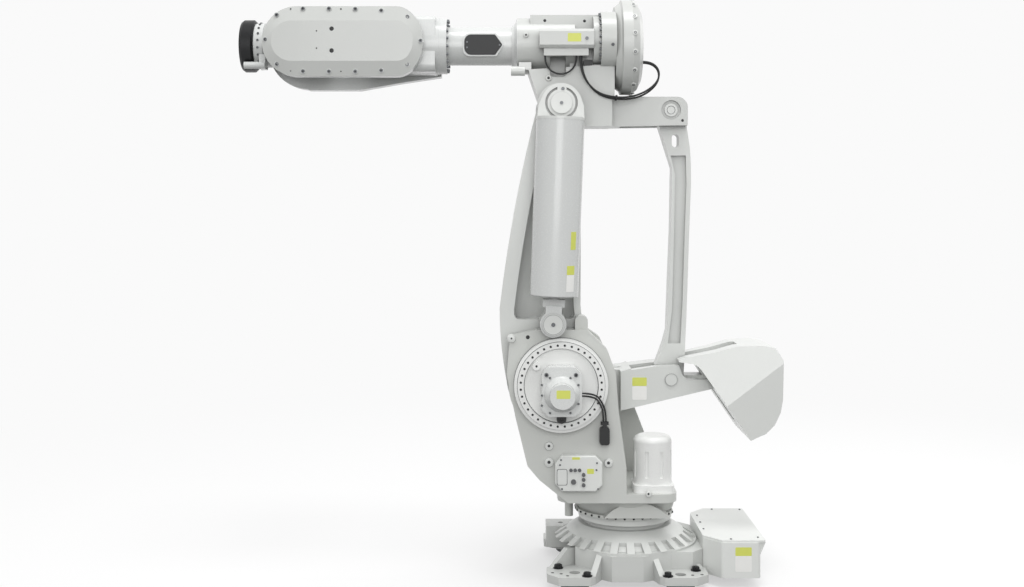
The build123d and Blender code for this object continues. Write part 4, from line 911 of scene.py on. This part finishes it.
class ROBOT_OT_stage(bpy.types.Operator):
    """Floor, lamps, sky and camera."""

    bl_idname = "robot.stage"
    bl_label = "Stage"

    def execute(self, context):
        """A pale floor, soft lamps above and beside the camera, and the photograph's viewpoint."""
        scene = context.scene
        power = scene.robot_stage
        corners = [(x * FLOOR_HALF, y * FLOOR_HALF, 0.0) for x, y in ((-1, -1), (1, -1), (1, 1), (-1, 1))]
        mesh = bpy.data.meshes.new("studio_floor")
        mesh.from_pydata(corners, [], [(0, 1, 2, 3)])
        floor = bpy.data.objects.new("studio_floor", mesh)
        scene.collection.objects.link(floor)
        floor.data.materials.append(self.floor_finish())
        for name, place, aim, size, watts in (
                ("key_lamp", (-1.5, 4.5, 19.5), (0.3, 0.0, 1.6), 7.0, power.key),
                ("fill_lamp", (0.8, 9.6, 4.2), (0.3, 0.0, 1.8), 5.0, power.fill),
                ("back_lamp", (-4.0, -3.0, 4.5), (0.0, 0.0, 1.6), 3.0, power.fill * 0.2)):
            lamp = bpy.data.lights.new(name, "AREA")
            lamp.shape = "SQUARE"
            lamp.size = size
            lamp.energy = watts
            shown = bpy.data.objects.new(name, lamp)
            scene.collection.objects.link(shown)
            shown.location = place
            turn = facing(np.array(place) - np.array(aim))
            shown.rotation_euler = Matrix(turn.tolist()).to_euler()
        world = bpy.data.worlds.new("studio_sky")
        world.use_nodes = True
        tree = world.node_tree
        tree.nodes.clear()
        light = add(tree, "ShaderNodeBackground", {"Color": (1, 1, 1, 1), "Strength": power.sky})
        shown = add(tree, "ShaderNodeBackground", {"Color": linear(BACKDROP), "Strength": 1.0})
        mix = add(tree, "ShaderNodeMixShader",
                  links={0: seen_directly(tree), 1: light.outputs[0], 2: shown.outputs[0]})
        add(tree, "ShaderNodeOutputWorld", links={"Surface": mix.outputs[0]})
        scene.world = world
        lens = bpy.data.cameras.new("photo_camera")
        lens.sensor_width = 36.0
        lens.lens = lens.sensor_width * FOCAL_PX / PICTURE_PX[0]
        lens.shift_y = (AHEAD_PX[1] - PICTURE_PX[1] / 2) / PICTURE_PX[0]
        lens.clip_end = 100.0
        camera = bpy.data.objects.new("photo_camera", lens)
        scene.collection.objects.link(camera)
        camera.location = CAMERA_AT
        camera.rotation_euler = (math.pi / 2, 0.0, math.pi)
        scene.camera = camera
        scene.view_settings.view_transform = "Standard"
        return {"FINISHED"}

    @staticmethod
    def floor_finish():
        """Seamless white paper: lit for the object's shadow, and shown to the camera as the backdrop."""
        made, tree, shader, where = surface("white_backdrop_paper")
        grain = add(tree, "ShaderNodeTexNoise", {"Scale": per_mm(60.0), "Detail": 2.0}, {"Vector": where})
        bump = add(tree, "ShaderNodeBump", {"Distance": 0.0002}, {"Height": grain.outputs["Fac"]})
        tree.links.new(bump.outputs["Normal"], shader.inputs["Normal"])
        shader.inputs["Roughness"].default_value = 0.9
        plain = add(tree, "ShaderNodeEmission", {"Color": linear(BACKDROP), "Strength": 1.0})
        shown = seen_directly(tree)
        tone = add(tree, "ShaderNodeMix",
                   {"data_type": "RGBA", MIX_FIRST: linear(FLOOR_SCATTER), MIX_SECOND: linear(FLOOR_SEEN)},
                   {"Factor": shown})
        tree.links.new(tone.outputs[MIX_RESULT], shader.inputs["Base Color"])
        away = add(tree, "ShaderNodeVectorMath", {"operation": "LENGTH"}, {0: where})
        white = add(tree, "ShaderNodeMapRange", {"From Min": 2.0, "From Max": 7.0, "To Min": 0.55,
                                                 "To Max": 1.0}, {"Value": away.outputs["Value"]})
        share = add(tree, "ShaderNodeMath", {"operation": "MULTIPLY"}, {0: shown, 1: white.outputs["Result"]})
        mix = add(tree, "ShaderNodeMixShader",
                  links={0: share.outputs[0], 1: shader.outputs[0], 2: plain.outputs[0]})
        tree.links.new(mix.outputs[0], tree.nodes["Material Output"].inputs["Surface"])
        return made


class ROBOT_PT_panel(bpy.types.Panel):
    """Lists the dressing steps in the sidebar."""

    bl_label = "Robot Arm"
    bl_idname = "ROBOT_PT_panel"
    bl_space_type = "VIEW_3D"
    bl_region_type = "UI"
    bl_category = "Robot Arm"

    def draw(self, context):
        """One button a step, then the sizes and colours."""
        for step in STEPS:
            self.layout.operator(step.bl_idname)
        for group in ("robot_colours", "robot_fasteners", "robot_stage"):
            values = getattr(context.scene, group)
            for key in values.__annotations__:
                self.layout.prop(values, key)


STEPS = (ROBOT_OT_stage, ROBOT_OT_cables, ROBOT_OT_paint, ROBOT_OT_wrist_screws, ROBOT_OT_drive_screws,
         ROBOT_OT_arm_details, ROBOT_OT_column_details, ROBOT_OT_floor_bolts, ROBOT_OT_films)
GROUPS = {"robot_colours": RobotColours, "robot_fasteners": RobotFasteners, "robot_stage": RobotStage}


def register():
    """Register the groups, steps and panel."""
    for cls in (*GROUPS.values(), *STEPS, ROBOT_PT_panel):
        bpy.utils.register_class(cls)
    for key, group in GROUPS.items():
        setattr(bpy.types.Scene, key, bpy.props.PointerProperty(type=group))


def unregister():
    """Take the panel, steps and groups out again."""
    for key in GROUPS:
        delattr(bpy.types.Scene, key)
    for cls in reversed((*GROUPS.values(), *STEPS, ROBOT_PT_panel)):
        bpy.utils.unregister_class(cls)


def main():
    """Register the groups, steps and panel, then run every step in order."""
    register()
    for step in STEPS:
        group, name = step.bl_idname.split(".")
        getattr(getattr(bpy.ops, group), name)()


if __name__ == "__main__":
    main()
